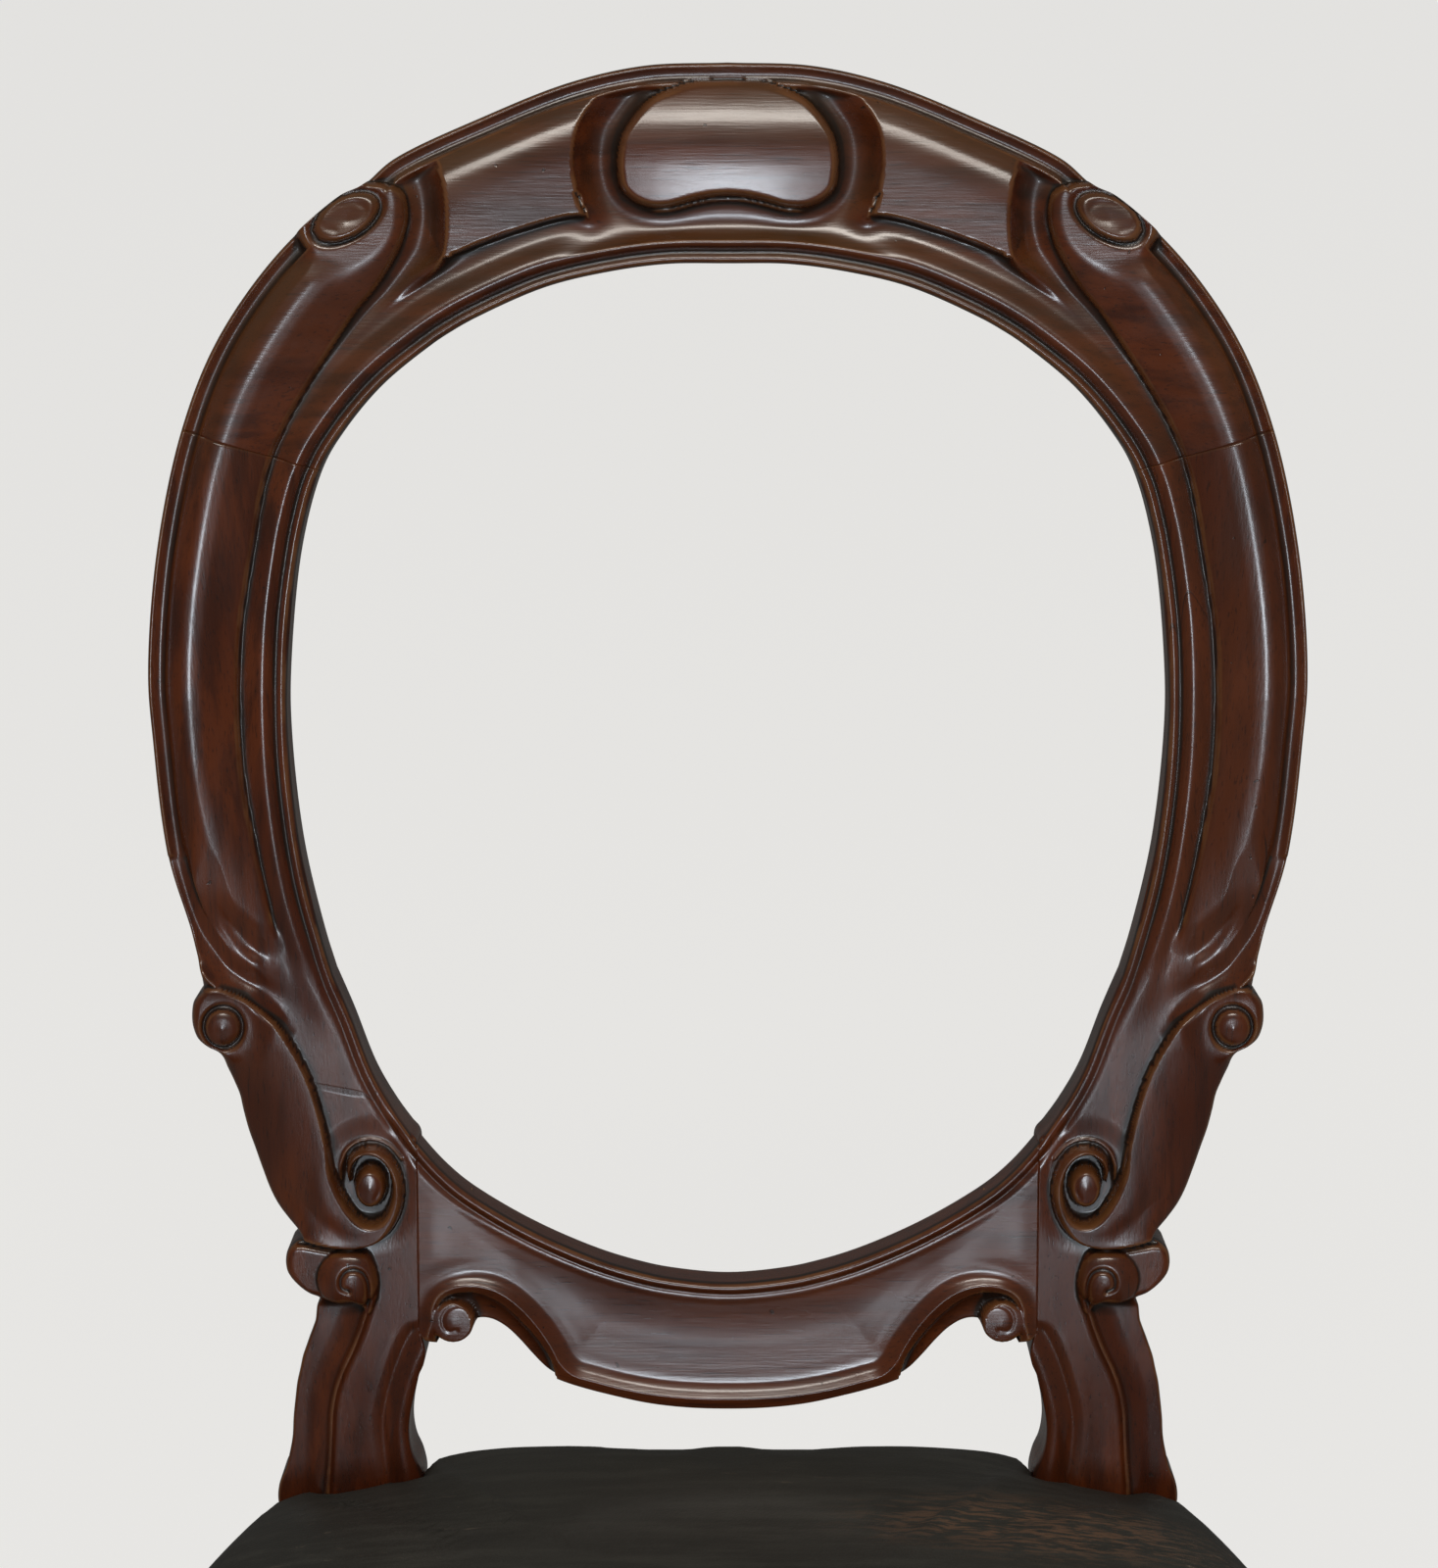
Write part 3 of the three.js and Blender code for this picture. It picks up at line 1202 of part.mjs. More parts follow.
function buildUpholstery() {
  for (let i = 0; i < webCountAlong; i += 1) {
    addPiece(`webbing_lengthways_${i + 1}`, webStrip(true, i), JUTE);
  }
  for (let i = 0; i < webCountAcross; i += 1) {
    addPiece(`webbing_crossways_${i + 1}`, webStrip(false, i), JUTE);
  }
  addPiece('hessian', hessianSheet(), JUTE);
  addPiece('stuffing_pad', stuffingPad(), JUTE);
  addPiece('leather_cover', leatherCover(), LEATHER);
  const { round, rear } = bandingSolids();
  addPiece('banding_round', round, LEATHER);
  addPiece('banding_rear', rear, LEATHER);
}

buildBack();
buildSeatFrame();
buildUpholstery();

// The chair stands with the middle of its own length and width over the origin.
const bounds = new THREE.Box3().setFromObject(chair);
chair.position.y = -(bounds.min.y + bounds.max.y) / 2;

export default chair;
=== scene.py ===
# Balloon back dining chair in moulded and carved mahogany, with a stuffed leather seat.
import math

import bpy
import numpy as np
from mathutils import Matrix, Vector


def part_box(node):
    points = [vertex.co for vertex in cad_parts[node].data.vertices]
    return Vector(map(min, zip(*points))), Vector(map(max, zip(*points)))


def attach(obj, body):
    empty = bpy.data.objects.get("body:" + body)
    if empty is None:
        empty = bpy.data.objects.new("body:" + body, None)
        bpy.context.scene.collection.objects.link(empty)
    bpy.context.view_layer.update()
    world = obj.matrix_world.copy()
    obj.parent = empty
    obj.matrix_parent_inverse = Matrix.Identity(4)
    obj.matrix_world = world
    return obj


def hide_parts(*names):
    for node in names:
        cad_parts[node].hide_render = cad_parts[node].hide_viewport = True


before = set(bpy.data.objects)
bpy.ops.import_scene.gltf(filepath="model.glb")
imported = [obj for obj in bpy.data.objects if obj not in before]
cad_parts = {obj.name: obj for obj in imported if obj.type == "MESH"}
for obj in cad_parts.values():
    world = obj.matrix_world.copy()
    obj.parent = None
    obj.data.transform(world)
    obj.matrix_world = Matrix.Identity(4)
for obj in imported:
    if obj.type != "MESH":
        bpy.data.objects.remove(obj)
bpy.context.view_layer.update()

# Camera
# The photographer stands in front and looks slightly down at the open back.
camera_data = bpy.data.cameras.new("camera")
camera_data.lens = 94.8
camera_data.shift_x = -9 / 1600
camera = bpy.data.objects.new("camera", camera_data)
bpy.context.scene.collection.objects.link(camera)
camera.location = (0, -1.2273, 1.2575)
aim = camera.location.copy()
aim.y, aim.z = 0.1909, 0.7148
camera.rotation_euler = (aim - camera.location).to_track_quat("-Z", "Y").to_euler()
bpy.context.scene.camera = camera

# Studio
# A plain pale floor under a plain light sky, one soft box high in front, and a cool one and a small low one
# behind the camera, which draw the long highlights on the mouldings.


def plug(tree, target, inputs):
    """Fill a node's inputs, each with a value or with another node's output."""
    for key, value in inputs.items():
        if isinstance(value, bpy.types.NodeSocket):
            tree.links.new(value, target.inputs[key])
        else:
            target.inputs[key].default_value = value
    return target


def node(tree, kind, inputs=None, **settings):
    """A new node with its settings and inputs."""
    made = tree.nodes.new(kind)
    for key, value in settings.items():
        setattr(made, key, value)
    return plug(tree, made, inputs or {})


def calc(tree, operation, *values):
    """A sum or other calculation on values."""
    return node(tree, "ShaderNodeMath", dict(enumerate(values)), operation=operation).outputs[0]


def new_material(name):
    """A material with its node tree and its shader."""
    made = bpy.data.materials.new(name)
    made.use_nodes = True
    return made, made.node_tree, made.node_tree.nodes["Principled BSDF"]


def new_object(name, places, faces):
    """A mesh object over places in metres."""
    mesh = bpy.data.meshes.new(name)
    mesh.from_pydata(places, [], faces)
    made = bpy.data.objects.new(name, mesh)
    bpy.context.scene.collection.objects.link(made)
    return made


floor = new_object("floor", [(-60, -60, 0), (60, -60, 0), (60, 60, 0), (-60, 60, 0)], [(0, 1, 2, 3)])
floor_paint, tree, shader = new_material("floor_paint")
glow = calc(tree, "MULTIPLY", node(tree, "ShaderNodeLightPath").outputs["Is Camera Ray"], 0.68)
plug(tree, shader, {"Base Color": (0.26, 0.26, 0.255, 1), "Roughness": 0.9,
                    "Emission Color": (1, 0.99, 0.97, 1), "Emission Strength": glow})
floor.data.materials.append(floor_paint)
world = bpy.data.worlds.new("studio")
bpy.context.scene.world = world
world.use_nodes = True
tree = world.node_tree
ray = node(tree, "ShaderNodeLightPath").outputs
seen = node(tree, "ShaderNodeMapRange", {"Value": ray["Is Camera Ray"], "To Min": 0.32, "To Max": 0.78})
plug(tree, tree.nodes["Background"], {
    "Color": (1, 0.985, 0.96, 1),
    "Strength": calc(tree, "MULTIPLY_ADD", ray["Is Glossy Ray"], -0.22, seen.outputs["Result"])})
bpy.context.scene.view_settings.view_transform = "Standard"


def soft_light(name, place, target, size, power, color=(1, 1, 1)):
    """A rectangular soft light at a place, turned to a target."""
    data = bpy.data.lights.new(name, "AREA")
    data.shape = "RECTANGLE"
    data.size, data.size_y = size
    data.energy = power
    data.color = color
    light = bpy.data.objects.new(name, data)
    bpy.context.scene.collection.objects.link(light)
    light.location = place
    way = camera.location.copy()
    way.x, way.y, way.z = (t - p for t, p in zip(target, place))
    light.rotation_euler = way.to_track_quat("-Z", "Y").to_euler()


soft_light("high_box", (0, -1.35, 2.35), (0, 0.15, 0.75), (1.1, 0.34), 22, (1, 0.94, 0.86))
soft_light("cool_box", (0, -3.2, 1.03), (0, 0.15, 0.75), (0.5, 0.42), 21, (0.82, 0.91, 1))
soft_light("low_box", (0, -3.2, 0.24), (0, 0.15, 0.55), (0.24, 0.2), 1.8, (0.82, 0.91, 1))

# Polished mahogany
# Cuban mahogany under old French polish: red brown with darker streaks along the grain, worn to orange brown on its
# arrises, and nearly black in its hollows, partly with wax and dust and partly with painted shade. Faces that look up
# high on the back are paler, partly faded polish and partly a painted reflection of the light overhead.


def noise(tree, vector, scale, detail=4.0, roughness=0.55):
    """Factor of a noise texture."""
    return node(tree, "ShaderNodeTexNoise", {"Vector": vector, "Scale": scale, "Detail": detail,
                                             "Roughness": roughness}).outputs["Fac"]


def stretched(tree, vector, scale):
    """Coordinates scaled along each axis."""
    return node(tree, "ShaderNodeMapping", {"Vector": vector, "Scale": scale}).outputs["Vector"]


def between(tree, value, low, high, to_low=0.0, to_high=1.0):
    """A value carried smoothly from one range to another, and held at its ends."""
    return node(tree, "ShaderNodeMapRange", {"Value": value, "From Min": low, "From Max": high, "To Min": to_low,
                                             "To Max": to_high}, interpolation_type="SMOOTHSTEP").outputs["Result"]


def blend(tree, factor, a, b):
    """Two colours mixed by a factor."""
    return node(tree, "ShaderNodeMix", {0: factor, 6: a, 7: b}, data_type="RGBA").outputs[2]


def times(tree, a, b):
    """The product of two values."""
    return calc(tree, "MULTIPLY", a, b)


def stained(tree, tint, mask, low, high, share, color):
    """A colour over the tint, up to a share of it, where the mask passes from low to high."""
    return blend(tree, times(tree, between(tree, mask, low, high), share), tint, color + (1,))


def mahogany_group():
    """Colour, roughness and bump of the polished wood, with the grain along X of the coordinates."""
    tree = bpy.data.node_groups.new("mahogany_surface", "ShaderNodeTree")
    tree.interface.new_socket("Along", in_out="INPUT", socket_type="NodeSocketVector")
    for key, kind in (("Color", "Color"), ("Roughness", "Float"), ("Normal", "Vector")):
        tree.interface.new_socket(key, in_out="OUTPUT", socket_type="NodeSocket" + kind)
    given, out = tree.nodes.new("NodeGroupInput").outputs, tree.nodes.new("NodeGroupOutput")
    along = given["Along"]
    place = node(tree, "ShaderNodeTexCoord").outputs["Object"]
    arris = node(tree, "ShaderNodeAttribute", attribute_name="arris").outputs["Fac"]
    hollow = node(tree, "ShaderNodeAttribute", attribute_name="hollow").outputs["Fac"]
    clouds = noise(tree, place, 9, 3)
    streaks = noise(tree, stretched(tree, along, (6, 150, 150)), 1, 5, 0.6)
    figure = noise(tree, stretched(tree, along, (9, 38, 38)), 1, 3)
    pores = noise(tree, stretched(tree, along, (60, 1400, 1400)), 1, 2)
    red = blend(tree, between(tree, figure, 0.35, 0.65), (0.056, 0.0108, 0.0026, 1), (0.098, 0.0208, 0.0044, 1))
    tone = blend(tree, between(tree, streaks, 0.4, 0.66, 0, 0.75), red, (0.029, 0.0066, 0.0026, 1))
    tone = stained(tree, tone, clouds, 0.42, 0.68, 0.5, (0.096, 0.0245, 0.0066))
    tone = stained(tree, tone, pores, 0.58, 0.7, 0.5, (0.012, 0.0045, 0.003))
    # Upward facing faces high on the back are painted paler and olive: partly faded polish, partly a painted
    # reflection of the light overhead.
    facing = node(tree, "ShaderNodeSeparateXYZ",
                  {"Vector": node(tree, "ShaderNodeNewGeometry").outputs["Normal"]}).outputs["Z"]
    level = node(tree, "ShaderNodeSeparateXYZ", {"Vector": place}).outputs["Z"]
    faded_and_top_reflection = times(tree, between(tree, facing, 0.0, 0.75), between(tree, level, 0.72, 0.94))
    faded_and_top_reflection = times(tree, faded_and_top_reflection, between(tree, clouds, 0.3, 0.65, 0.25, 0.6))
    tone = blend(tree, faded_and_top_reflection, tone, (0.080, 0.044, 0.017, 1))
    rub = noise(tree, place, 55, 4, 0.65)
    # Darker in the hollows: partly wax and dust, partly painted shade, most of all where the broad hollow term is
    # large.
    dirt_and_shade = times(tree, between(tree, hollow, 0.06, 0.75), between(tree, rub, 0.25, 0.6, 0.6, 0.9))
    tone = blend(tree, dirt_and_shade, tone, (0.0085, 0.0072, 0.0052, 1))
    wear = times(tree, between(tree, arris, 0.12, 0.85), between(tree, rub, 0.34, 0.62, 0.25, 0.95))
    tone = blend(tree, wear, tone, (0.135, 0.052, 0.0175, 1))
    scored = node(tree, "ShaderNodeMapping", {"Vector": place, "Rotation": (0.4, 0.6, 0.7), "Scale": (9, 420, 9)})
    scratches = between(tree, noise(tree, scored.outputs["Vector"], 1, 2), 0.715, 0.74)
    nicks = between(tree, noise(tree, place, 210, 2), 0.745, 0.775)
    marks = calc(tree, "MAXIMUM", times(tree, scratches, between(tree, clouds, 0.5, 0.62)), nicks)
    tone = blend(tree, times(tree, marks, 0.7), tone, (0.012, 0.006, 0.004, 1))
    smear = noise(tree, stretched(tree, along, (10, 60, 60)), 1, 4, 0.6)
    sheen = between(tree, smear, 0.3, 0.7, 0.21, 0.31)
    sheen = calc(tree, "ADD", sheen, times(tree, dirt_and_shade, 0.12))
    relief = calc(tree, "ADD", times(tree, streaks, 0.35), times(tree, pores, -0.25))
    relief = calc(tree, "ADD", relief, times(tree, noise(tree, place, 24, 3), 1.6))
    relief = calc(tree, "SUBTRACT", relief, times(tree, marks, 0.6))
    bump = node(tree, "ShaderNodeBump", {"Height": relief, "Strength": 0.22, "Distance": 0.0006})
    plug(tree, out, {"Color": tone, "Roughness": sheen, "Normal": bump.outputs["Normal"]})
    return tree


mahogany_surface = mahogany_group()


def polished_mahogany(name, turn):
    """French polished mahogany whose grain follows X after the given turn of the object's axes."""
    made, tree, shader = new_material(name)
    place = node(tree, "ShaderNodeTexCoord").outputs["Object"]
    along = node(tree, "ShaderNodeMapping", {"Vector": place, "Rotation": turn}).outputs["Vector"]
    surface = node(tree, "ShaderNodeGroup", {"Along": along}, node_tree=mahogany_surface).outputs
    plug(tree, shader, {"Coat Weight": 0.22, "Coat Roughness": 0.12, "Specular IOR Level": 0.5,
                        "Base Color": surface["Color"], "Roughness": surface["Roughness"],
                        "Normal": surface["Normal"]})
    return made


mahogany_across = polished_mahogany("mahogany_grain_across", (0, 0, 0))
mahogany_upright = polished_mahogany("mahogany_grain_upright", (0, math.radians(90), 0))

# The plane of the back
# The back leans 12 degrees and bows forward at its sides. Its face is drawn in millimetres: u across,
# v up the slope from the widest level of the hoop, and h out towards the front.
LEAN = math.radians(12)
HOOP_HEIGHT, HOOP_HALF_WIDTH, HOOP_THICKNESS, BACK_SWEEP, BACK_Y = 750, 211, 22, 12, 198.35
SEAT_LINE_HEIGHT, SEAT_LINE_DROP = 452, 304.7
LEG_TURN_HEIGHT, LEG_TURN_DROP, LEG_TURN_Y, FOOT_SWEEP = 395, 57, -69.4, 82


def back_line(v):
    """Front line of the back seen from the side: straight at the lean above the seat line; below it a
    parabola that comes upright at the rails, then a sweep backwards that grows with the 1.8th power."""
    above = v >= -SEAT_LINE_DROP
    height = np.where(above, HOOP_HEIGHT + v * math.cos(LEAN), SEAT_LINE_HEIGHT + SEAT_LINE_DROP + v)
    rise = height - LEG_TURN_HEIGHT
    bend = LEG_TURN_Y + rise ** 2 * math.tan(LEAN) / (2 * LEG_TURN_DROP)
    sweep = LEG_TURN_Y + FOOT_SWEEP * (np.clip(-rise, 0, None) / LEG_TURN_HEIGHT) ** 1.8
    y = np.where(above, v * math.sin(LEAN), np.where(rise >= 0, bend, sweep))
    lean = np.where(above, LEAN, LEAN * np.clip(rise / LEG_TURN_DROP, 0, 1))
    return y, height, lean


def on_back(u, v, h):
    """Face coordinates in millimetres to places in metres: the front line, less a bow of 12 mm times the
    square of the share across, which fades out down to the seat line, less h along the face's normal."""
    y, height, lean = back_line(v)
    bow = BACK_SWEEP * (u / HOOP_HALF_WIDTH) ** 2 * np.clip(1 + np.minimum(v, 0) / SEAT_LINE_DROP, 0, 1)
    place = np.stack([u, BACK_Y + y - bow - h * np.cos(lean), height + h * np.sin(lean)], axis=-1)
    return place / 1000


def follow(points, at):
    """Centripetal Catmull-Rom curve through the points, read at fractional point numbers."""
    points = np.asarray(points, float)
    points = np.vstack([2 * points[0] - points[1], points, 2 * points[-1] - points[-2]])
    at = np.asarray(at, float)
    i = np.clip(at.astype(int), 0, len(points) - 4)
    t = (at - i)[:, None]
    a, b, c, d = points[i], points[i + 1], points[i + 2], points[i + 3]
    before, here, after = (np.maximum(np.linalg.norm(q - p, axis=1), 1e-6)[:, None] ** 0.5
                           for p, q in ((a, b), (b, c), (c, d)))
    start = ((b - a) / before - (c - a) / (before + here) + (c - b) / here) * here
    end = ((c - b) / here - (d - b) / (here + after) + (d - c) / after) * here
    return ((2 * b - 2 * c + start + end) * t ** 3 + (3 * c - 3 * b - 2 * start - end) * t ** 2
            + start * t + b)


def smooth_line(points, step=1.0):
    """The same curve as a fine line of points, about one step apart."""
    points = np.asarray(points, float)
    length = np.linalg.norm(np.diff(points, axis=0), axis=1).sum()
    return follow(points, np.linspace(0, len(points) - 1, max(2, int(length / step) + 1)))


def profile(x, points):
    """A moulding's height at distance x, on the smooth curve through its drawn points."""
    line = follow(points, np.linspace(0, len(points) - 1, 16 * len(points)))
    return np.interp(x, line[:, 0], line[:, 1])


def reach(u, v, line):
    """Distance from each place to an open line."""
    far = np.full(np.shape(u), 1e6)
    for (ax, ay), (bx, by) in zip(line[:-1], line[1:]):
        ex, ey = bx - ax, by - ay
        t = np.clip(((u - ax) * ex + (v - ay) * ey) / (ex * ex + ey * ey + 1e-12), 0, 1)
        far = np.minimum(far, np.hypot(u - ax - t * ex, v - ay - t * ey))
    return far


def inside(u, v, outline):
    """Distance to a closed outline, positive inside it and negative outside."""
    outline = np.asarray(outline, float)
    closed = np.vstack([outline, outline[:1]])
    within = np.zeros(np.shape(u), bool)
    for (ax, ay), (bx, by) in zip(closed[:-1], closed[1:]):
        if ay != by:
            within ^= ((ay > v) != (by > v)) & (u < (bx - ax) * (v - ay) / (by - ay) + ax)
    return np.where(within, 1, -1) * reach(u, v, closed)


def quarter(x):
    """A convex quarter round that rises from 0 to 1."""
    return np.sqrt(1 - (1 - np.clip(x, 0, 1)) ** 2)


def ease(x):
    """A smooth step from 0 to 1."""
    x = np.clip(x, 0, 1)
    return x * x * (3 - 2 * x)


def carried(height, top, way):
    """Heights carried a share of the way to other heights."""
    return height + (top - height) * way


def groove(far, depth, half_width):
    """A rounded groove, or a bead with the opposite sign, along a line at distance far."""
    return depth * np.exp(-(far / half_width) ** 2)


def blurred(field, size):
    """Mean over a square of grid points, with the edge values carried outwards."""
    for axis in (0, 1):
        width = [(0, 0), (0, 0)]
        width[axis] = (size + 1, size)
        total = np.cumsum(np.pad(field, width, mode="edge"), axis=axis)
        count = 2 * size + 1
        field = (np.take(total, range(count, total.shape[axis]), axis)
                 - np.take(total, range(0, total.shape[axis] - count), axis)) / count
    return field


def tube_mesh(name, rings, masks=None):
    """A closed skin over rings of places, an array of rings by places by three, with a flat face over each
    end. masks are arrays of one value for each place, kept as attributes of the mesh."""
    count, around = rings.shape[:2]
    row, column = np.meshgrid(np.arange(count - 1), np.arange(around), indexing="ij")
    following = (column + 1) % around
    quads = np.stack([row * around + column, row * around + following,
                      (row + 1) * around + following, (row + 1) * around + column], axis=-1).reshape(-1, 4)
    corner = [rings.reshape(-1, 3)[quads[:, i]] for i in range(4)]
    volume = sum(np.einsum("ij,ij->i", corner[0], np.cross(corner[i], corner[i + 1])).sum() for i in (1, 2))
    faces = quads.tolist() + [list(range(around))[::-1], list(range((count - 1) * around, count * around))]
    if volume < 0:
        faces = [face[::-1] for face in faces]
    piece = new_object(name, rings.reshape(-1, 3).tolist(), faces)
    mesh = piece.data
    for key, values in (masks or {}).items():
        attribute = mesh.attributes.new(key, "FLOAT", "POINT")
        attribute.data.foreach_set("value", np.ascontiguousarray(values, np.float32).ravel())
    mesh.polygons.foreach_set("use_smooth", np.arange(len(faces)) < len(quads))
    mesh.update()
    return piece


def stands_for(piece, cad_nodes, material):
    """The piece takes the place of CAD nodes, with its material and the record's slot."""
    piece.data.materials.append(material)
    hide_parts(*cad_nodes)
    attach(piece, "root")
    return piece


def across(outer, inner, share):
    """Face coordinates at shares of the way from the outer to the inner edge points."""
    return [outer[:, i:i + 1] + (inner[:, i:i + 1] - outer[:, i:i + 1]) * share for i in (0, 1)]


def doubled(half, flip=1):
    """Stations of the right half, with those of the left half before them."""
    return np.concatenate([half[:0:-1] * flip, half])


BACK_EDGE_ROUND = 5
to_left = np.array([-1, 1])


def back_piece(name, outer, inner, share, height, depth, cad_node, material):
    """A member of the back. Each station is a line from an outer to an inner edge point, with the front
    at the given heights across it, rounded sides and a flat rear at the given depth."""
    width = np.linalg.norm(inner - outer, axis=1)[:, None]
    turn = np.linspace(0, math.pi / 2, 6)
    wall = np.linspace(0, 1, 6)[1:-1][None, :]
    deep = -depth[:, None] + BACK_EDGE_ROUND
    under = deep - BACK_EDGE_ROUND * np.sin(turn)[None, :]
    inner_h, outer_h = (np.concatenate([edge[:, None] * (1 - wall) + deep * wall, under], axis=1)
                        for edge in (height[:, -1], height[:, 0]))
    inset = np.concatenate([np.zeros(wall.size), BACK_EDGE_ROUND * (1 - np.cos(turn))])[None, :]
    inset = inset * np.clip(width / 24, 0.2, 1) / width
    share_inner, share_outer = 1 - inset, inset[:, ::-1]
    flat = np.linspace(0, 1, 10)[1:-1][None, :]
    rear_share = share_inner[:, -1:] + (share_outer[:, :1] - share_inner[:, -1:]) * flat
    side_share = np.concatenate([share_inner, rear_share, share_outer], axis=1)
    side_h = np.concatenate([inner_h, np.repeat(-depth[:, None], flat.size, 1), outer_h[:, ::-1]], axis=1)
    rings = np.concatenate([on_back(*across(outer, inner, share), height),
                            on_back(*across(outer, inner, side_share), side_h)], axis=1)
    fine, near, wide = (blurred(height, size) for size in (((1, 3, 8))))
    # arris marks raised edges, shown worn; hollow marks recesses, shown darkened partly for wax and dust and partly as
    # painted shade, the broad second term most of all.
    arris = np.clip((height - fine) / 0.22 - 0.15, 0, 1) + 0.35 * np.clip((height - near) / 0.5 - 0.3, 0, 1)
    hollow = np.clip((near - height) / 0.7 - 0.1, 0, 1) * 0.8 + 0.45 * np.clip((wide - height) / 2.2, 0, 1)
    masks = {key: np.concatenate([np.clip(values, 0, 1), np.zeros(side_h.shape)], axis=1)
             for key, values in (("arris", arris), ("hollow", hollow))}
    return stands_for(tube_mesh(name, rings, masks), [cad_node], material)


# Crest rail
# The top of the hoop, sawn and carved from one piece of mahogany and dowelled to the stiles: a rim and
# hollow, a cartouche in a ring hollow, two flat panels, and a scroll with a long eye at each shoulder.

# Stations of the hoop from the top middle down one side: outer across and up, inner across and up.
hoop_stations = [
    (0, 225.5, 0, 154), (30, 224.4, 21.9, 153.8), (57, 218.5, 43, 151.1), (88, 206.6, 66, 145.7),
    (120.1, 191.9, 90.9, 135.1), (130.8, 183.1, 99.2, 130.6), (139, 179.3, 107, 125.6), (162.5, 158.3, 126, 110.5),
    (184, 128.5, 140.1, 94), (197.1, 97, 147.9, 81), (206.8, 54.1, 155.9, 52.8), (211, 9.5, 160.8, 7.9),
    (209.9, -15.8, 161, -17.4), (205.7, -58.5, 157.4, -57.9), (197.5, -89, 150.4, -92), (193.7, -106, 146, -107.9)]
JOINT = 9
rim_and_hollow = [
    (0, -2.8), (0.4, -1), (1.1, -0.3), (2.1, -0.9), (3.3, -1.5), (4.6, -1.7), (5.8, -1.3), (6.6, -0.5), (7.2, 0.6),
    (8.4, 0), (10, -1.4), (12, -1.8), (14, -1.8)]
inner_moulding = [
    (0, -2.4), (0.4, -0.8), (1.1, 0.1), (2, 0.3), (2.9, -0.1), (3.8, -0.8), (4.6, -0.6), (5.6, 0.7), (6.8, 1.9),
    (8.2, 2.4), (9.8, 2.2), (11.8, 1.3), (14, 0.1), (16.5, -1), (20, -1.6), (26, -1.8)]
band_crown = [
    (0, 0.6), (0.06, 2.7), (0.14, 4.8), (0.24, 6.2), (0.34, 6.5), (0.46, 6.2), (0.6, 5.4), (0.8, 3.9), (1, 2.2)]
panel_crown = [(0, 0.6), (0.1, 2.4), (0.22, 4), (0.36, 4.9), (0.52, 5.25), (0.7, 5.3), (0.86, 5.3), (1, 5.3)]

scroll_end = smooth_line([
    (128.8, 183.9), (123.7, 183.6), (118.7, 182.2), (116.2, 179.7), (115.1, 175.3), (115.1, 170.2), (116.3, 165.2),
    (118.4, 159.4), (125.4, 148.3), (134.6, 137.2), (143.6, 123.7), (151.9, 110.9), (159.4, 98), (166.4, 81.2),
    (170, 64)])
band_outline = np.vstack([scroll_end, [(230, 60), (230, 190), (140, 200)]])
panel_end = smooth_line([
    (107.5, 196), (104.7, 191.1), (103, 187.4), (101.6, 182.4), (100.9, 176.6), (100.7, 170), (101, 163.5),
    (101.9, 158.6), (104, 153.8), (110.3, 147.6), (114.8, 143.3), (119.2, 139), (122.8, 135.5)])
middle_side = np.vstack([[(107.5, 240)], panel_end, [(130, 126), (110, 105), (-20, 105), (-20, 240)]])
ring_arris = smooth_line([
    (44, 217), (47, 213.5), (51, 209), (53.6, 204.3), (55.2, 198.8), (55.8, 193.5), (55.5, 185.9), (54.2, 180.5),
    (52.2, 175), (50.3, 170.8)])
panel_foot = smooth_line([
    (50.3, 170.9), (56.7, 170.6), (64, 169.2), (71.3, 167.1), (79.4, 164.6), (87.5, 161.8), (94.8, 158.9),
    (101.7, 156.4)])
panel_outline = np.vstack([ring_arris[::-1], [(44, 225), (90, 214), (112, 204)],
                           panel_end[panel_end[:, 1] > 156.4], panel_foot[::-1]])
cartouche = smooth_line([
    (0, 219.2), (13, 218.5), (20, 216.5), (27, 213.5), (31.5, 209.5), (35, 205), (37.5, 201), (39, 196.6),
    (39.7, 191), (39.5, 186), (38.4, 181), (35.4, 177.4), (31.8, 175.3), (27.9, 174.2), (23.8, 174), (19.8, 174.5),
    (15.3, 175.7), (10.4, 176.9), (5, 177.8), (0, 178.1)])
cartouche_outline = np.vstack([cartouche, [(-30, 178.1), (-30, 219.2)]])
cartouche_face = [
    (170, 7.2), (178, 7.9), (182, 8.25), (186, 8.55), (191, 8.8), (196, 8.8), (200, 8.5), (204, 7.9), (208, 6.9),
    (212, 5.6), (216, 4), (219, 2.6), (226, -1)]
EYE = (136.3, 171.8)
EYE_TILT = math.radians(-29)
eye_spiral = smooth_line([
    (140.5, 167.2), (144.3, 168.6), (145.4, 171.4), (142.6, 174.2), (137.6, 176.6), (132.6, 177), (129.4, 174.6),
    (131.2, 171.6), (136, 170.4)])
BAND_MARGIN, INNER_MARGIN = 7.2, 24


def band_height(d, to_end):
    """Height of the swelling band by the share of the way from its outer edge to its outline or its end."""
    across_band = np.clip((d - BAND_MARGIN) / (d - BAND_MARGIN + np.clip(to_end, 0.01, None)), 0, 1)
    return profile(np.where(d > BAND_MARGIN, across_band, 0), band_crown)


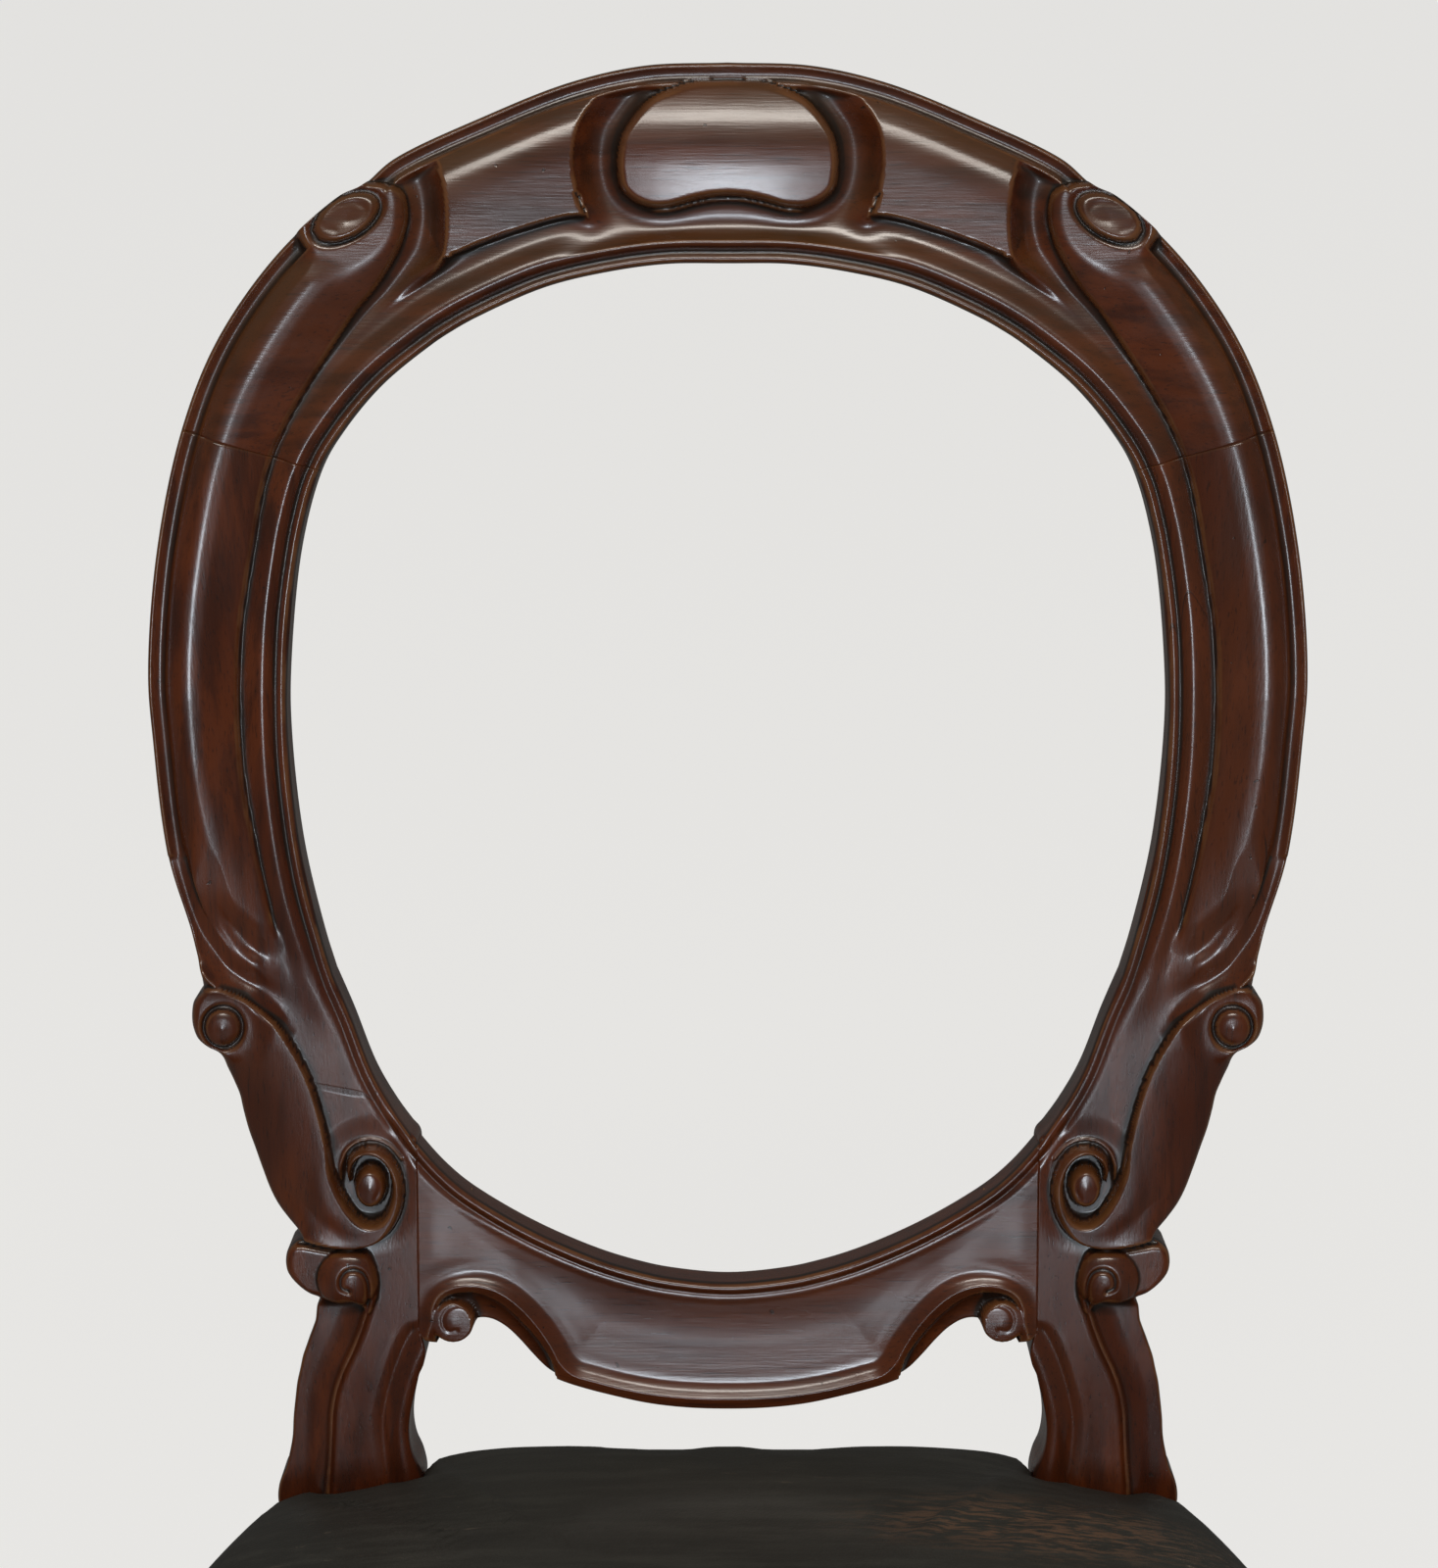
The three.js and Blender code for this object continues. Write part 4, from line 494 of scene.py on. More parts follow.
def crest_height(u, v, d, width):
    """Height of the right half of the crest: sunk ground with its edge mouldings, on which the band's scroll,
    the panel and the cartouche stand as pads that rise at their outlines in a quarter round. The hollows
    between them are coves that climb with the square of the way to both sides. They are lowest at 0.63 of the
    way from the arris, and the ring's at 0.38 of it beside the ridge."""
    e = width - d
    ground = np.where(e < 24, profile(e, inner_moulding), profile(d, rim_and_hollow))
    ground = np.where(d < 12, np.maximum(profile(d, rim_and_hollow), np.where(e < 24, ground, -9)), ground)
    on_band = inside(u, v, band_outline)
    to_pad = inside(u, v, cartouche_outline)
    to_end = inside(u, v, middle_side)
    panel_top = profile((d - BAND_MARGIN) / (width - BAND_MARGIN - INNER_MARGIN), panel_crown)
    arris_top = panel_top * ease((v - 134) / 22)
    clear = ease((e - 19) / 6) * ease((d - 5.5) / 6)
    t = np.abs(to_end) / (np.abs(to_end) + np.clip(-on_band, 0.3, None))
    cove = -2.6 + (arris_top + 2.6) * np.clip(1 - t / 0.63, 0, 1) ** 2 + 2.4 * np.clip(t / 0.37 - 1.7, 0, 1) ** 2
    shoulder = (to_end < 0) & (on_band < 2)
    height = np.where(shoulder, carried(ground, cove, clear),
                      ground + np.maximum(arris_top - ground, 0) * np.exp(-np.abs(to_end) / 2.2) * (v < 160) * clear)
    to_ring = reach(u, v, ring_arris)
    in_ring = (u < 66) & (inside(u, v, panel_outline) < 0) & (e > 8.2)
    to_ridge = np.clip(e - 8.2, 0, None)
    near_ridge = to_ring / (to_ring + to_ridge + 0.01)
    to_side = to_ring * to_ridge / (to_ring + to_ridge + 0.01)
    side_top = panel_top * ease((v - 166) / 14) * (1 - near_ridge) + 2.4 * near_ridge
    lowest = -3.4 + 2.0 * near_ridge
    t = to_side / (to_side + np.clip(-to_pad, 0.3, None))
    middle = 0.63 - 0.25 * near_ridge
    cove = lowest + (side_top - lowest) * np.clip(1 - t / middle, 0, 1) ** 2
    cove = cove + 3.0 * np.clip((t - middle) / (1 - middle), 0, 1) ** 2
    clear = ease((d - 5.5) / 4.5) * np.maximum(ease((198 - v) / 8), ease((u - 22) / 12)) * (u < 58)
    low = ease((184 - v) / 10)
    clear = clear * (1 - low) + low * ease((66 - u) / 20)
    height = np.where(in_ring, carried(height, cove, clear), height)
    to_panel = inside(u, v, panel_outline)
    at_arris = ((to_ring < 3) & (v > 180)) | ((np.abs(to_end) < 3) & (v > 157))
    rise = np.where(at_arris, to_panel > 0, ease((to_panel + 0.6) / 2.0)) * (d >= BAND_MARGIN)
    height = carried(height, panel_top, rise)
    band_top = band_height(d, on_band)
    on_scroll = ease((27 - np.hypot(u - EYE[0], v - EYE[1])) / 12)
    band_top = carried(band_top, 5.6, on_scroll)
    rise = quarter((on_band + 0.2) / 2.2) * np.where(d >= BAND_MARGIN, 1, ease((on_scroll - 0.55) / 0.4))
    height = carried(height, band_top, rise)
    ledge = 1.3 * ease((to_pad + 2) / 0.7) * ease((182 - v) / 4) * ease((30 - u) / 8)
    height = np.where(to_pad < 0, height + np.maximum(ledge - 1.0 * (to_pad > -0.7) * ease((30 - u) / 8), -9), height)
    pad_top = profile(v, cartouche_face) - 1.4 * (u / 40) ** 2
    height = carried(height, pad_top, quarter((to_pad + 0.1) / 2.6))
    a = (u - EYE[0]) * math.cos(EYE_TILT) + (v - EYE[1]) * math.sin(EYE_TILT)
    b = -(u - EYE[0]) * math.sin(EYE_TILT) + (v - EYE[1]) * math.cos(EYE_TILT)
    radius = np.hypot(a / 12.6, b / 7.1)
    in_eye = (1 - radius) * 8
    height = height - groove(np.clip(-in_eye - 0.6, 0, None), 1.0, 0.9) * (in_eye < 0) * (np.hypot(a, b) < 20)
    eye_top = 8.8 - 0.14 * b - 0.5 * np.clip(1 - radius, 0, 1) - groove(reach(u, v, eye_spiral), 0.14, 1.1)
    return carried(height, eye_top, quarter(in_eye / 2.0))


def hoop_shares(width, count):
    """Shares across the hoop that keep the rim, hollow and inner mouldings in even fine columns."""
    first, middle, last = count
    width = width[:, None]
    band = width - BAND_MARGIN - INNER_MARGIN
    parts = [np.linspace(0, BAND_MARGIN, first, endpoint=False)[None, :] + 0 * width,
             BAND_MARGIN + band * np.linspace(0, 1, middle, endpoint=False)[None, :],
             width - INNER_MARGIN + np.linspace(0, INNER_MARGIN, last)[None, :]]
    return np.concatenate(parts, axis=1) / width


crest_rows = 340
columns = ((14, 56, 44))
at = np.linspace(0, JOINT, crest_rows)
outer, inner = (follow([p[k:k + 2] for p in hoop_stations], at) for k in (0, 2))
outer[0, 0] = inner[0, 0] = 0
width = np.linalg.norm(inner - outer, axis=1)
share = hoop_shares(width, columns)
height = crest_height(*across(outer, inner, share), share * width[:, None], width[:, None])
back_piece("crest_rail_carved", doubled(outer, to_left), doubled(inner, to_left), doubled(share), doubled(height),
           np.full(2 * crest_rows - 1, 21.9), "crest_rail", mahogany_across)

# Back stiles
# Each side of the hoop runs on down as the carved leaf, the post and the rear leg, all cut from one
# timber of mahogany. The moulded band dies in a hollow lip above the leaf, whose end curls in a volute.

# The two edges of the stile below the band, and the line of the inner edge on into the lower rail.
outer_side = np.array([
    (193.7, -106), (194, -111.2), (195.8, -112.8), (197.6, -115.7), (198.2, -119.9), (197.8, -124.3),
    (196.1, -128.8), (192.9, -131.8), (189, -133.9), (187.2, -136), (185.6, -140.8), (183.5, -146), (181.5, -151.3),
    (180.2, -157.7), (178.5, -164.9), (176.1, -172.4), (173.7, -180), (171, -187.6), (168.2, -193.3),
    (164.3, -198.8), (160.1, -203.8), (158.5, -206.9), (161.4, -208.6), (164.4, -211.4), (165.4, -215),
    (165.2, -218.9), (163.6, -222.1), (160.4, -225.7), (156.5, -228.8), (153.2, -231.3), (154.4, -234.6),
    (155.2, -240.6), (156.7, -245.1), (158.6, -250.3), (160.1, -254.4), (161.3, -259.7), (162.5, -265),
    (163.3, -271), (164.2, -279), (164.7, -286.6), (165.9, -293.1), (167.4, -299.1), (169.7, -304.4), (170.6, -311),
    (169, -320), (167.1, -332), (165.6, -356.6), (165.2, -384.7), (164.2, -436.6), (163.5, -526.6), (164.2, -636.9),
    (166.1, -716.9), (166.7, -756.66)])
inner_side = np.array([
    (145.9, -107.9), (140.1, -122.5), (132, -145), (124.6, -158.8), (118.9, -167.2), (116, -171), (116, -180),
    (116, -200), (116, -220), (116, -238), (116, -242.5), (114.8, -247.4), (113.8, -252), (114.2, -256.2),
    (116.1, -260.7), (117.2, -264.9), (118.7, -271.3), (119.9, -277.4), (120.4, -283.5), (120, -288.8),
    (119, -293.1), (116.8, -298.5), (115.5, -306), (117.1, -317), (119.2, -332), (120.7, -356.6), (121.3, -384.7),
    (124.5, -436.6), (128.7, -526.6), (134, -636.9), (137.2, -716.9), (138.2, -756.66)])
hoop_inner_line = smooth_line([
    (136.6, 99.2), (143.9, 88), (149.6, 77.2), (153.5, 64), (155.9, 52.8), (160, 22.8), (161, -17.5), (158.8, -48),
    (155.2, -72), (150.4, -92), (145.9, -107.9), (140.1, -122.5), (132, -145), (124.6, -158.8), (118.9, -167.2),
    (112, -176.2), (106.1, -182.8), (98.2, -189.9), (84.2, -199.3), (70.2, -207.1), (56.2, -213.6), (44.9, -218),
    (34, -221.3), (22.9, -223.8), (0, -226), (-23, -223.8)], 2.5)
leg_depths = [
    (304.7, 34), (316.9, 34), (331.8, 34.7), (356.6, 35.7), (384.7, 35.7), (436.6, 34), (526.6, 29.9), (636.9, 27.2),
    (716.9, 26), (757, 26)]
# Where the band ends, the hollow round its end, and the leaf with the rim of its volute.
stile_band = np.vstack([smooth_line([
    (148, 120), (159.4, 98), (166.4, 81.2), (172, 53.3), (177, 23.4), (178, 8), (177.5, -27), (173, -58),
    (167.6, -86), (165.2, -100), (163.6, -108.5), (166.8, -105), (172.4, -100.9), (177.3, -98.4), (183.2, -95.8),
    (188, -89), (193, -80), (197, -70)]), [(240, -70), (240, 120)]])
lip = smooth_line([
    (207.5, 20), (206.3, -20), (203.5, -52), (199.4, -72), (194.4, -87.5), (189.4, -95.9), (184.6, -102.4),
    (179.6, -106.2), (171.3, -111.2), (166.4, -114.9), (161.5, -119.5)])
leaf_arris = smooth_line([
    (214, -112), (194.3, -109.8), (187.6, -109.5), (181.8, -111.7), (175.3, -115.6), (167, -122.8), (161.3, -131.7),
    (156.5, -141.3), (152.4, -152.8), (149.3, -165.9), (147.6, -175.5), (146.1, -182.6), (142.5, -191.4),
    (137.9, -198.2), (133.7, -200.5), (129.5, -199.3), (126.5, -194.2), (125.3, -186.8), (127.1, -179.7),
    (130.9, -175.7), (135.1, -175.1), (138.1, -177.2), (139.8, -180.5), (140.5, -185.5)])
rim_outside = smooth_line([
    (141, -185.5), (142, -180.5), (140.6, -175), (136.7, -172.2), (131.7, -171.4), (126.6, -173.9), (122.9, -179),
    (120.8, -186), (121.1, -193.9), (124, -201.7), (129.6, -207.7), (137.2, -210.2), (145.7, -210.2),
    (154.1, -208.4), (160, -206.2)])
leaf_outline = np.vstack([leaf_arris, rim_outside, [(214, -204)]])
VOLUTE = (133.4, -187)
volute_line = smooth_line([(144.3, -184.9), (144.4, -179.7), (142.4, -174), (137.7, -170.3), (131.8, -169.7),
                           (126.4, -172), (121.8, -177)])
volute_spiral = smooth_line([(137.6, -186.9), (137.8, -183.4), (135.9, -180.4), (132.5, -180), (129.9, -182.6),
                             (129.3, -187), (131, -191)])
SMALL_SCROLL = (186.2, -124.2)
leaf_crown = [
    (0, -1.8), (0.04, 0.1), (0.1, 1.5), (0.2, 2.9), (0.35, 4.4), (0.55, 5.7), (0.75, 6.4), (0.92, 6.7), (1, 6.7)]
# The knob below the leaf, whose rim runs down as the sharp arris between the post's face and side hollow.
knob_outline = np.vstack([smooth_line([
    (158.3, -209), (148.5, -210.9), (138.9, -211.1), (134.3, -212.6), (131.5, -218.8), (130.6, -225.5),
    (132.3, -232.9), (134.4, -236.6), (136.6, -234.6), (140.6, -232.2), (145.4, -232.6), (149.4, -231.8),
    (153.3, -230), (156, -229)]), [(180, -229), (180, -209)]])
knob_rim = smooth_line([
    (135.6, -236.5), (134.3, -229.2), (134.5, -223.4), (136.2, -219.6), (139.2, -218.1), (142.4, -218.8),
    (144.3, -221.4), (144.2, -225.1), (141.6, -226.4)])
post_arris = smooth_line([
    (131.2, -222), (132.9, -229.5), (135.2, -235.6), (137.7, -243), (140.6, -250.4), (144.4, -258.6),
    (147.3, -266.9), (148.8, -275.2), (149.3, -283.6), (149.8, -291.9), (150.3, -298.7), (150.9, -306.2),
    (151, -330)])
side_hollow = [
    (-3, 0), (-1.5, 0.3), (-0.5, 1.1), (0, 1.3), (0.7, 0.6), (2, -2), (5, -4.2), (9, -5), (14, -4.8), (20, -4.4),
    (26, -5)]
roll_side = smooth_line([(113, -235), (120.6, -247.2), (126.4, -262), (129.9, -278), (129.4, -292), (127.6, -305),
                         (127, -320)])
inner_roll = [
    (-6, 0), (-4, -0.1), (-2, -0.5), (0, -1), (2, -0.6), (4, 0.4), (6, 1), (8, 0.8), (10, -0.3), (12, -2),
    (14, -3.6)]
rail_edge = [
    (0, -2), (0.5, -0.3), (1.4, 0.3), (2.5, 0.2), (3.3, -0.5), (4.1, -0.9), (5, -0.5), (6.2, -0.1), (9, 0), (13, 0)]


def at_level(v, line):
    """How far across a line is that runs down the stile, at each height."""
    return np.interp(-v, -line[:, 1], line[:, 0])


def stile_height(u, v, d):
    """Height of the right stile's face. The band, the leaf with its volute and the knob are pads that rise
    at their outlines in a quarter round; the lip is a cove whose sides climb with the power 1.6 of the way
    from its line; the post has its side hollow and roll as profiles by the distance from their lines."""
    e = reach(u, v, hoop_inner_line)
    sunk = ease((v + 215) / 50) * ease((u - 117) / 10)
    to_plain = ease((v + 135) / 75)
    inner_part = (profile(e, inner_moulding) + 1.8) * to_plain + profile(e, rail_edge) * (1 - to_plain) * (
        0.55 + 0.45 * ease((-150 - v) / 40))
    ground = np.where(e < 26, inner_part, 0) * (e < 26) - 1.8 * sunk
    upper = np.where(d < 12, profile(d, rim_and_hollow), -1.8)
    height = np.where(v > -60, np.where(e < 24, ground, upper), ground)
    to_lip = reach(u, v, lip)
    turned = ease((-96 - v) / 10)
    outside = 2.0 * np.clip(to_lip / 5, 0, 1) ** 1.4
    leafward = 5.6 * np.clip(to_lip / 7.5, 0, 1) ** 1.6
    cove = -1.7 + outside * (1 - turned) + leafward * turned
    to_leaf = inside(u, v, leaf_outline)
    lip_zone = ease((u - 159) / 20) * ease((-v - 50) / 24) * ease((v + 135) / 8) * ease((13 - to_lip) / 6)
    height = height + (cove - height) * lip_zone * (to_leaf < 2)
    to_band = inside(u, v, stile_band)
    near_end = ease((-66 - v) / 24)
    from_end = 0.72 * (v + 99.75) - 0.69 * (u - 175.7)
    crown = band_height(d, to_band) * (0.42 + 0.58 * ease((from_end + 4) / 46))
    rise = quarter((to_band + 0.2) / 2.0) * ((d >= BAND_MARGIN) | (v < -84))
    rise = rise * (1 - near_end * (1 - ease((from_end + 1) / 16)))
    height = carried(height, crown, rise)
    top = profile(d / (d + np.clip(to_leaf, 0.01, None)), leaf_crown)
    by_scroll = ease((20 - np.hypot(u - SMALL_SCROLL[0], v - SMALL_SCROLL[1])) / 10)
    top = top * (1 - by_scroll) + by_scroll * (-1.6 + 6.6 * quarter(d / 3.5))
    by_volute = ease((23 - np.hypot(u - VOLUTE[0], v - VOLUTE[1])) / 8)
    top = top * (1 - by_volute) + by_volute * (6.7 - 1.6 * ease((u - 141) / 14) * ease((-196 - v) / 10))
    from_volute = np.hypot(u - VOLUTE[0], (v - VOLUTE[1]) * 0.85)
    floor_level = height - 0.8 * ease((24 - from_volute) / 10) - 3.0 * ease((13 - from_volute) / 3) * (to_leaf < 0)
    floor_level = floor_level - groove(reach(u, v, volute_line), -0.9, 0.5)
    height = carried(floor_level, top, quarter(to_leaf / (0.8 + 1.5 * by_volute)))
    eye = (1 - np.hypot((u - VOLUTE[0] + 0.2) / 6.0, (v - VOLUTE[1]) / 8.2)) * 7
    eye_top = 5.0 + 0.12 * np.clip(eye, 0, 9) - groove(reach(u, v, volute_spiral), 0.35, 0.9)
    height = carried(height, eye_top, quarter((eye + 0.2) / 2.4))
    boss = (1 - np.hypot((u - SMALL_SCROLL[0]) / 6.3, (v - SMALL_SCROLL[1]) / 6.9)) * 6.6
    height = height - groove(np.abs(boss + 0.9), 1.9, 0.9) * (boss < 3) * (np.abs(boss) < 4)
    height = carried(height, 6.3 + 0.16 * np.clip(boss, 0, 9), quarter(boss / 3))
    x = reach(u, v, post_arris) * np.where(u > at_level(v, post_arris), 1, -1)
    post = carried(height, profile(x, side_hollow), ease((-227 - v) / 8) * (x > -3))
    height = np.where(to_leaf > 0, height, post)
    to_knob = inside(u, v, knob_outline)
    from_lobe = np.hypot(u - 142, v + 222.5)
    bulb = 2.4 + 4.4 * np.sqrt(np.clip(1 - (from_lobe / 11.5) ** 2, 0, 1)) - groove(reach(u, v, knob_rim), 1.4, 0.8)
    bulb = bulb - 3.0 * (1 - quarter(d / 3))
    height = carried(height, bulb, quarter(to_knob / 2.6))
    y = reach(u, v, roll_side) * np.where(u < at_level(v, roll_side), 1, -1)
    height = carried(height, profile(y, inner_roll), ease((-239 - v) / 5) * (y > -6))
    leg = -4 * (1 - quarter(d / 5)) - 4 * (1 - quarter(np.abs(u - at_level(v, inner_side)) / 5))
    height = carried(height, leg, ease((-318 - v) / 12))
    height = height - 1.6 * (1 - quarter(d / 0.9)) * (v < -60) * (v > -318)
    for place in ((172, -99), (164, -110)):
        near = ease((15 - np.hypot(u - place[0], v - place[1])) / 7)
        height = carried(height, blurred(height, 6), near)
    return height


stile_steps = ((165, 28, 345, 84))
at = np.concatenate([np.linspace(JOINT, 14, stile_steps[0], endpoint=False),
                     np.linspace(14, 15, stile_steps[1], endpoint=False)])
outer, inner = (follow([p[k:k + 2] for p in hoop_stations], at) for k in (0, 2))
down = np.concatenate([np.linspace(106, 313, stile_steps[2], endpoint=False),
                       np.linspace(313, 756.66, stile_steps[3])])
inner_down = down + 1.9 * np.clip(1 - (down - 106) / 200, 0, 1)
outer, inner = (np.vstack([above, np.stack([at_level(-level, smooth_line(side, 0.7)), -level], axis=1)])
                for above, level, side in ((outer, down, outer_side), (inner, inner_down, inner_side)))
width = np.linalg.norm(inner - outer, axis=1)
even = np.linspace(0, 1, sum(columns))[None, :]
settled = ease((-outer[:, 1:] - 150) / 30)
share = hoop_shares(width, columns) * (1 - settled) + even * settled
height = stile_height(*across(outer, inner, share), share * width[:, None])
drop = -outer[:, 1]
depth = np.where(drop < SEAT_LINE_DROP, HOOP_THICKNESS + 12 * np.clip(drop / SEAT_LINE_DROP, 0, 1),
                 np.interp(drop, *np.transpose(leg_depths)))
back_piece("back_stile_right_carved", outer, inner, share, height, depth, "back_stile_right",
           mahogany_upright)
back_piece("back_stile_left_carved", outer[::-1] * to_left, inner[::-1] * to_left, share[::-1], height[::-1],
           depth[::-1], "back_stile_left", mahogany_upright)

# Lower back rail
# The bottom of the hoop between the stiles, dowelled to both: it carries on the hoop's edge moulding and
# ends in two small scrolls, from which a beaded rim swings down to its lower edge over a hollow soffit.
rail_bottom = smooth_line([
    (116, -245.5), (114, -247.3), (111.9, -248.1), (107.1, -248.8), (103, -248.3), (100.2, -247.2), (97, -244.9),
    (94.9, -241.4), (92.2, -240.8), (88.3, -241.6), (83.4, -244.6), (78.6, -249.3), (73.8, -254.9), (69, -260),
    (65.7, -262.4), (60.9, -264.4), (52.7, -267), (45.2, -269), (30.4, -272.4), (15.7, -274.2), (0, -274.7),
    (-15.7, -274.2)], 0.6)
rail_bead = smooth_line([
    (113, -246.5), (111.6, -240.4), (110.9, -234.6), (108.4, -229.7), (103.8, -226.9), (96.6, -225.9),
    (89.3, -227.1), (82.9, -230.3), (76.5, -235.9), (70.9, -242.6), (66.1, -250.2), (63, -256.2), (58.5, -260.6),
    (50, -263.4), (37.6, -266.6), (23, -269), (8.7, -270), (0, -270.1), (-15, -269.6)])
rim_low = smooth_line([
    (109.4, -246), (108.8, -234.2), (105.5, -230.4), (100.7, -228.8), (95.1, -228.8), (88.6, -231), (83, -234.7),
    (76.6, -240.9), (71, -247.7), (67, -254.2), (65.1, -260)])
RAIL_SCROLL = (103.1, -240.2)
rail_spiral = smooth_line([(94.6, -238.6), (97, -234.8), (101.4, -233.4), (105.4, -235.2), (107, -239.4),
                           (105.2, -243.2), (101.6, -243)])
bead_section = [
    (-5, -0.2), (-3, 0.3), (-1.2, 1.1), (0, 1.5), (1.3, 0.8), (2.8, 0), (4.5, -0.3), (7, -0.3), (11, -0.1), (16, 0),
    (18, 0)]


def rail_height(u, v):
    """Height of the right half of the lower rail: the edge moulding at its top, a field hollowed by a parabola
    to 1.9 mm between its edges, the bead by the distance from its line, the soffit as a quarter round down to
    7 mm, and the scroll as a low disc."""
    e = reach(u, v, hoop_inner_line)
    bottom = reach(u, v, rail_bottom)
    to_bead = reach(u, v, rail_bead)
    way = e / (e + to_bead + 0.01)
    field = -7.6 * way * (1 - way) * np.minimum((e + to_bead) / 44, 1) * ease((112 - u) / 34)
    height = profile(e, rail_edge) * (e < 12) + field * ease((e - 3) / 5)
    below = inside(u, v, np.vstack([rail_bead, [(-15, -300), (130, -300), (130, -246)]])) > 0
    x = np.where(below, -to_bead, to_bead)
    height = np.where(x < 16, profile(x, bead_section) + height * ease((x - 1) / 5), height)
    to_low = reach(u, v, rim_low)
    under = inside(u, v, np.vstack([rim_low, [(60, -300), (109, -300)]])) > 0
    soffit = 0.2 - 7 * quarter(to_low / (to_low + bottom + 0.01))
    height = np.where(under, soffit, height)
    disc = 8.3 - np.hypot(u - RAIL_SCROLL[0], v - RAIL_SCROLL[1])
    top = 1.4 + 0.06 * disc - groove(reach(u, v, rail_spiral), 0.3, 0.7)
    height = carried(height, top, quarter(disc / 1.2))
    return height - 1.8 * (1 - quarter(bottom / 1.0)) * (disc < 0.5)


POST_INNER_SIDE = 116
rail_rows, near_columns, far_columns = ((194, 28, 96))
u_line = np.linspace(0, POST_INNER_SIDE, rail_rows)
outer, inner = (np.stack([u_line, np.interp(u_line, line[::-1, 0], line[::-1, 1])], axis=1)
                for line in (hoop_inner_line, rail_bottom))
width = (outer - inner)[:, 1:]
near = np.linspace(0, 13, near_columns, endpoint=False)[None, :] / width
share = np.concatenate([near, near[:, -1:] + (1 - near[:, -1:]) * np.linspace(0, 1, far_columns)[None, 1:]], axis=1)
height = rail_height(*across(outer, inner, share))
back_piece("lower_back_rail_carved", doubled(outer, to_left), doubled(inner, to_left), doubled(share), doubled(height),
           np.full(2 * rail_rows - 1, float(HOOP_THICKNESS)), "lower_back_rail", mahogany_across)

# Seat rails
# The front and side rails are mahogany, with a scratched line along each edge of the face that shows below
# the leather and a shallow arch under the front. They are tenoned into the stiles and the front legs.
SEAT_HALF_WIDTH, SEAT_DEPTH, SEAT_REAR, POST_OUTER_SIDE = 235, 420, 160, 170.6
RAIL_TOP, RAIL_BOTTOM, SHOW_WOOD_TOP, PROUD, RAIL_THICKNESS = 438, 372, 402, 3, 26
seat_half = [(POST_OUTER_SIDE + p * (SEAT_HALF_WIDTH - POST_OUTER_SIDE), SEAT_REAR - q * SEAT_DEPTH) for p, q in
             ((0, 0.07), (0.27, 0.18), (0.635, 0.345), (0.872, 0.515), (0.989, 0.7), (1, 0.85))]
seat_half += [(p * SEAT_HALF_WIDTH, SEAT_REAR - q * SEAT_DEPTH) for p, q in
              ((0.99, 0.93), (0.972, 0.957), (0.93, 0.972), (0.83, 0.981), (0.47, 0.993), (0, 1))]
seat_plan = np.array(seat_half + [(-x, y) for x, y in seat_half[-2::-1]])


def seat_edge(at, grow=0.0):
    """Places on the plan of the seat frame, from the right post round the front to the left one, moved
    outwards by a distance along the normal of the curve."""
    at = np.asarray(at, float)
    ahead = follow(seat_plan, np.clip(at + 0.01, 0, 22)) - follow(seat_plan, np.clip(at - 0.01, 0, 22))
    ahead /= np.linalg.norm(ahead, axis=1)[:, None]
    return follow(seat_plan, at) + np.stack([-ahead[:, 1], ahead[:, 0]], axis=1) * grow


def eased(points, radius=0.8, steps=3):
    """A closed section whose corners are rounded by a quadratic curve, as an array of places."""
    points = np.asarray(points, float)
    t = np.linspace(0, 1, steps + 1)[None, :, None]
    here = points[:, None, :]
    sides = []
    for other in (np.roll(points, 1, 0), np.roll(points, -1, 0)):
        way = other - points
        length = np.linalg.norm(way, axis=1)[:, None]
        sides.append((points + way * np.minimum(0.45, radius / length))[:, None, :])
    return (sides[0] * (1 - t) ** 2 + 2 * here * t * (1 - t) + sides[1] * t ** 2).reshape(-1, 2)


rail_section = eased([
    (-RAIL_THICKNESS, RAIL_BOTTOM), (-RAIL_THICKNESS, RAIL_TOP), (0, RAIL_TOP), (0, 402.2), (PROUD, SHOW_WOOD_TOP),
    (PROUD, 399.6), (1.7, 399.0), (1.7, 398.2), (PROUD, 397.2), (PROUD, 379.8), (1.7, 378.9), (1.7, 378.1),
    (PROUD, 376.8), (PROUD, 373.2), (1.8, RAIL_BOTTOM)], 0.7)
section_out, section_z = rail_section[None, :, 0], rail_section[None, :, 1]


def seat_rail(name, at, cad_node, arch=0.0):
    """The rail's section swept along the seat's plan. Its inner side gives way to the front leg's block,
    its rear end meets the post's face, and the arch lifts its lower part by half a cosine wave."""
    middle = seat_edge(at)
    outward = seat_edge(at, 1.0) - middle
    cheek = np.where(middle[:, 1] < -240, -247.3 - middle[:, 1], np.abs(middle[:, 0]) - 232.3)
    by_block = (np.abs(middle[:, 0]) > 183) & (middle[:, 1] < -198)
    room = np.where(by_block, np.maximum(cheek, 1.2), RAIL_THICKNESS)[:, None]
    x, y = (middle[:, k:k + 1] + outward[:, k:k + 1] * np.maximum(section_out, -room) for k in (0, 1))
    y = np.where((middle[:, 1:] > 130.5) & (np.abs(x) < 168), 129.1, y)
    rise = arch * (1 + np.cos(math.pi * np.minimum(1, np.abs(middle[:, :1]) / 120))) / 2
    z = section_z + rise * (1 - ease((section_z - 381) / 14))
    # The grooves of the scratched lines are darkened through the hollow mask: partly wax and dust, partly painted
    # shade.
    masks = {"arris": 0.3 * (section_out > 2.4) * (section_z < 374),
             "hollow": 0.8 * ((section_out < 2.4) & (section_out > 0.5))}
    piece = tube_mesh(name, np.stack([x, y, z], axis=-1) / 1000,
                      {key: np.repeat(values, len(at), 0) for key, values in masks.items()})
    return stands_for(piece, [cad_node], mahogany_across)


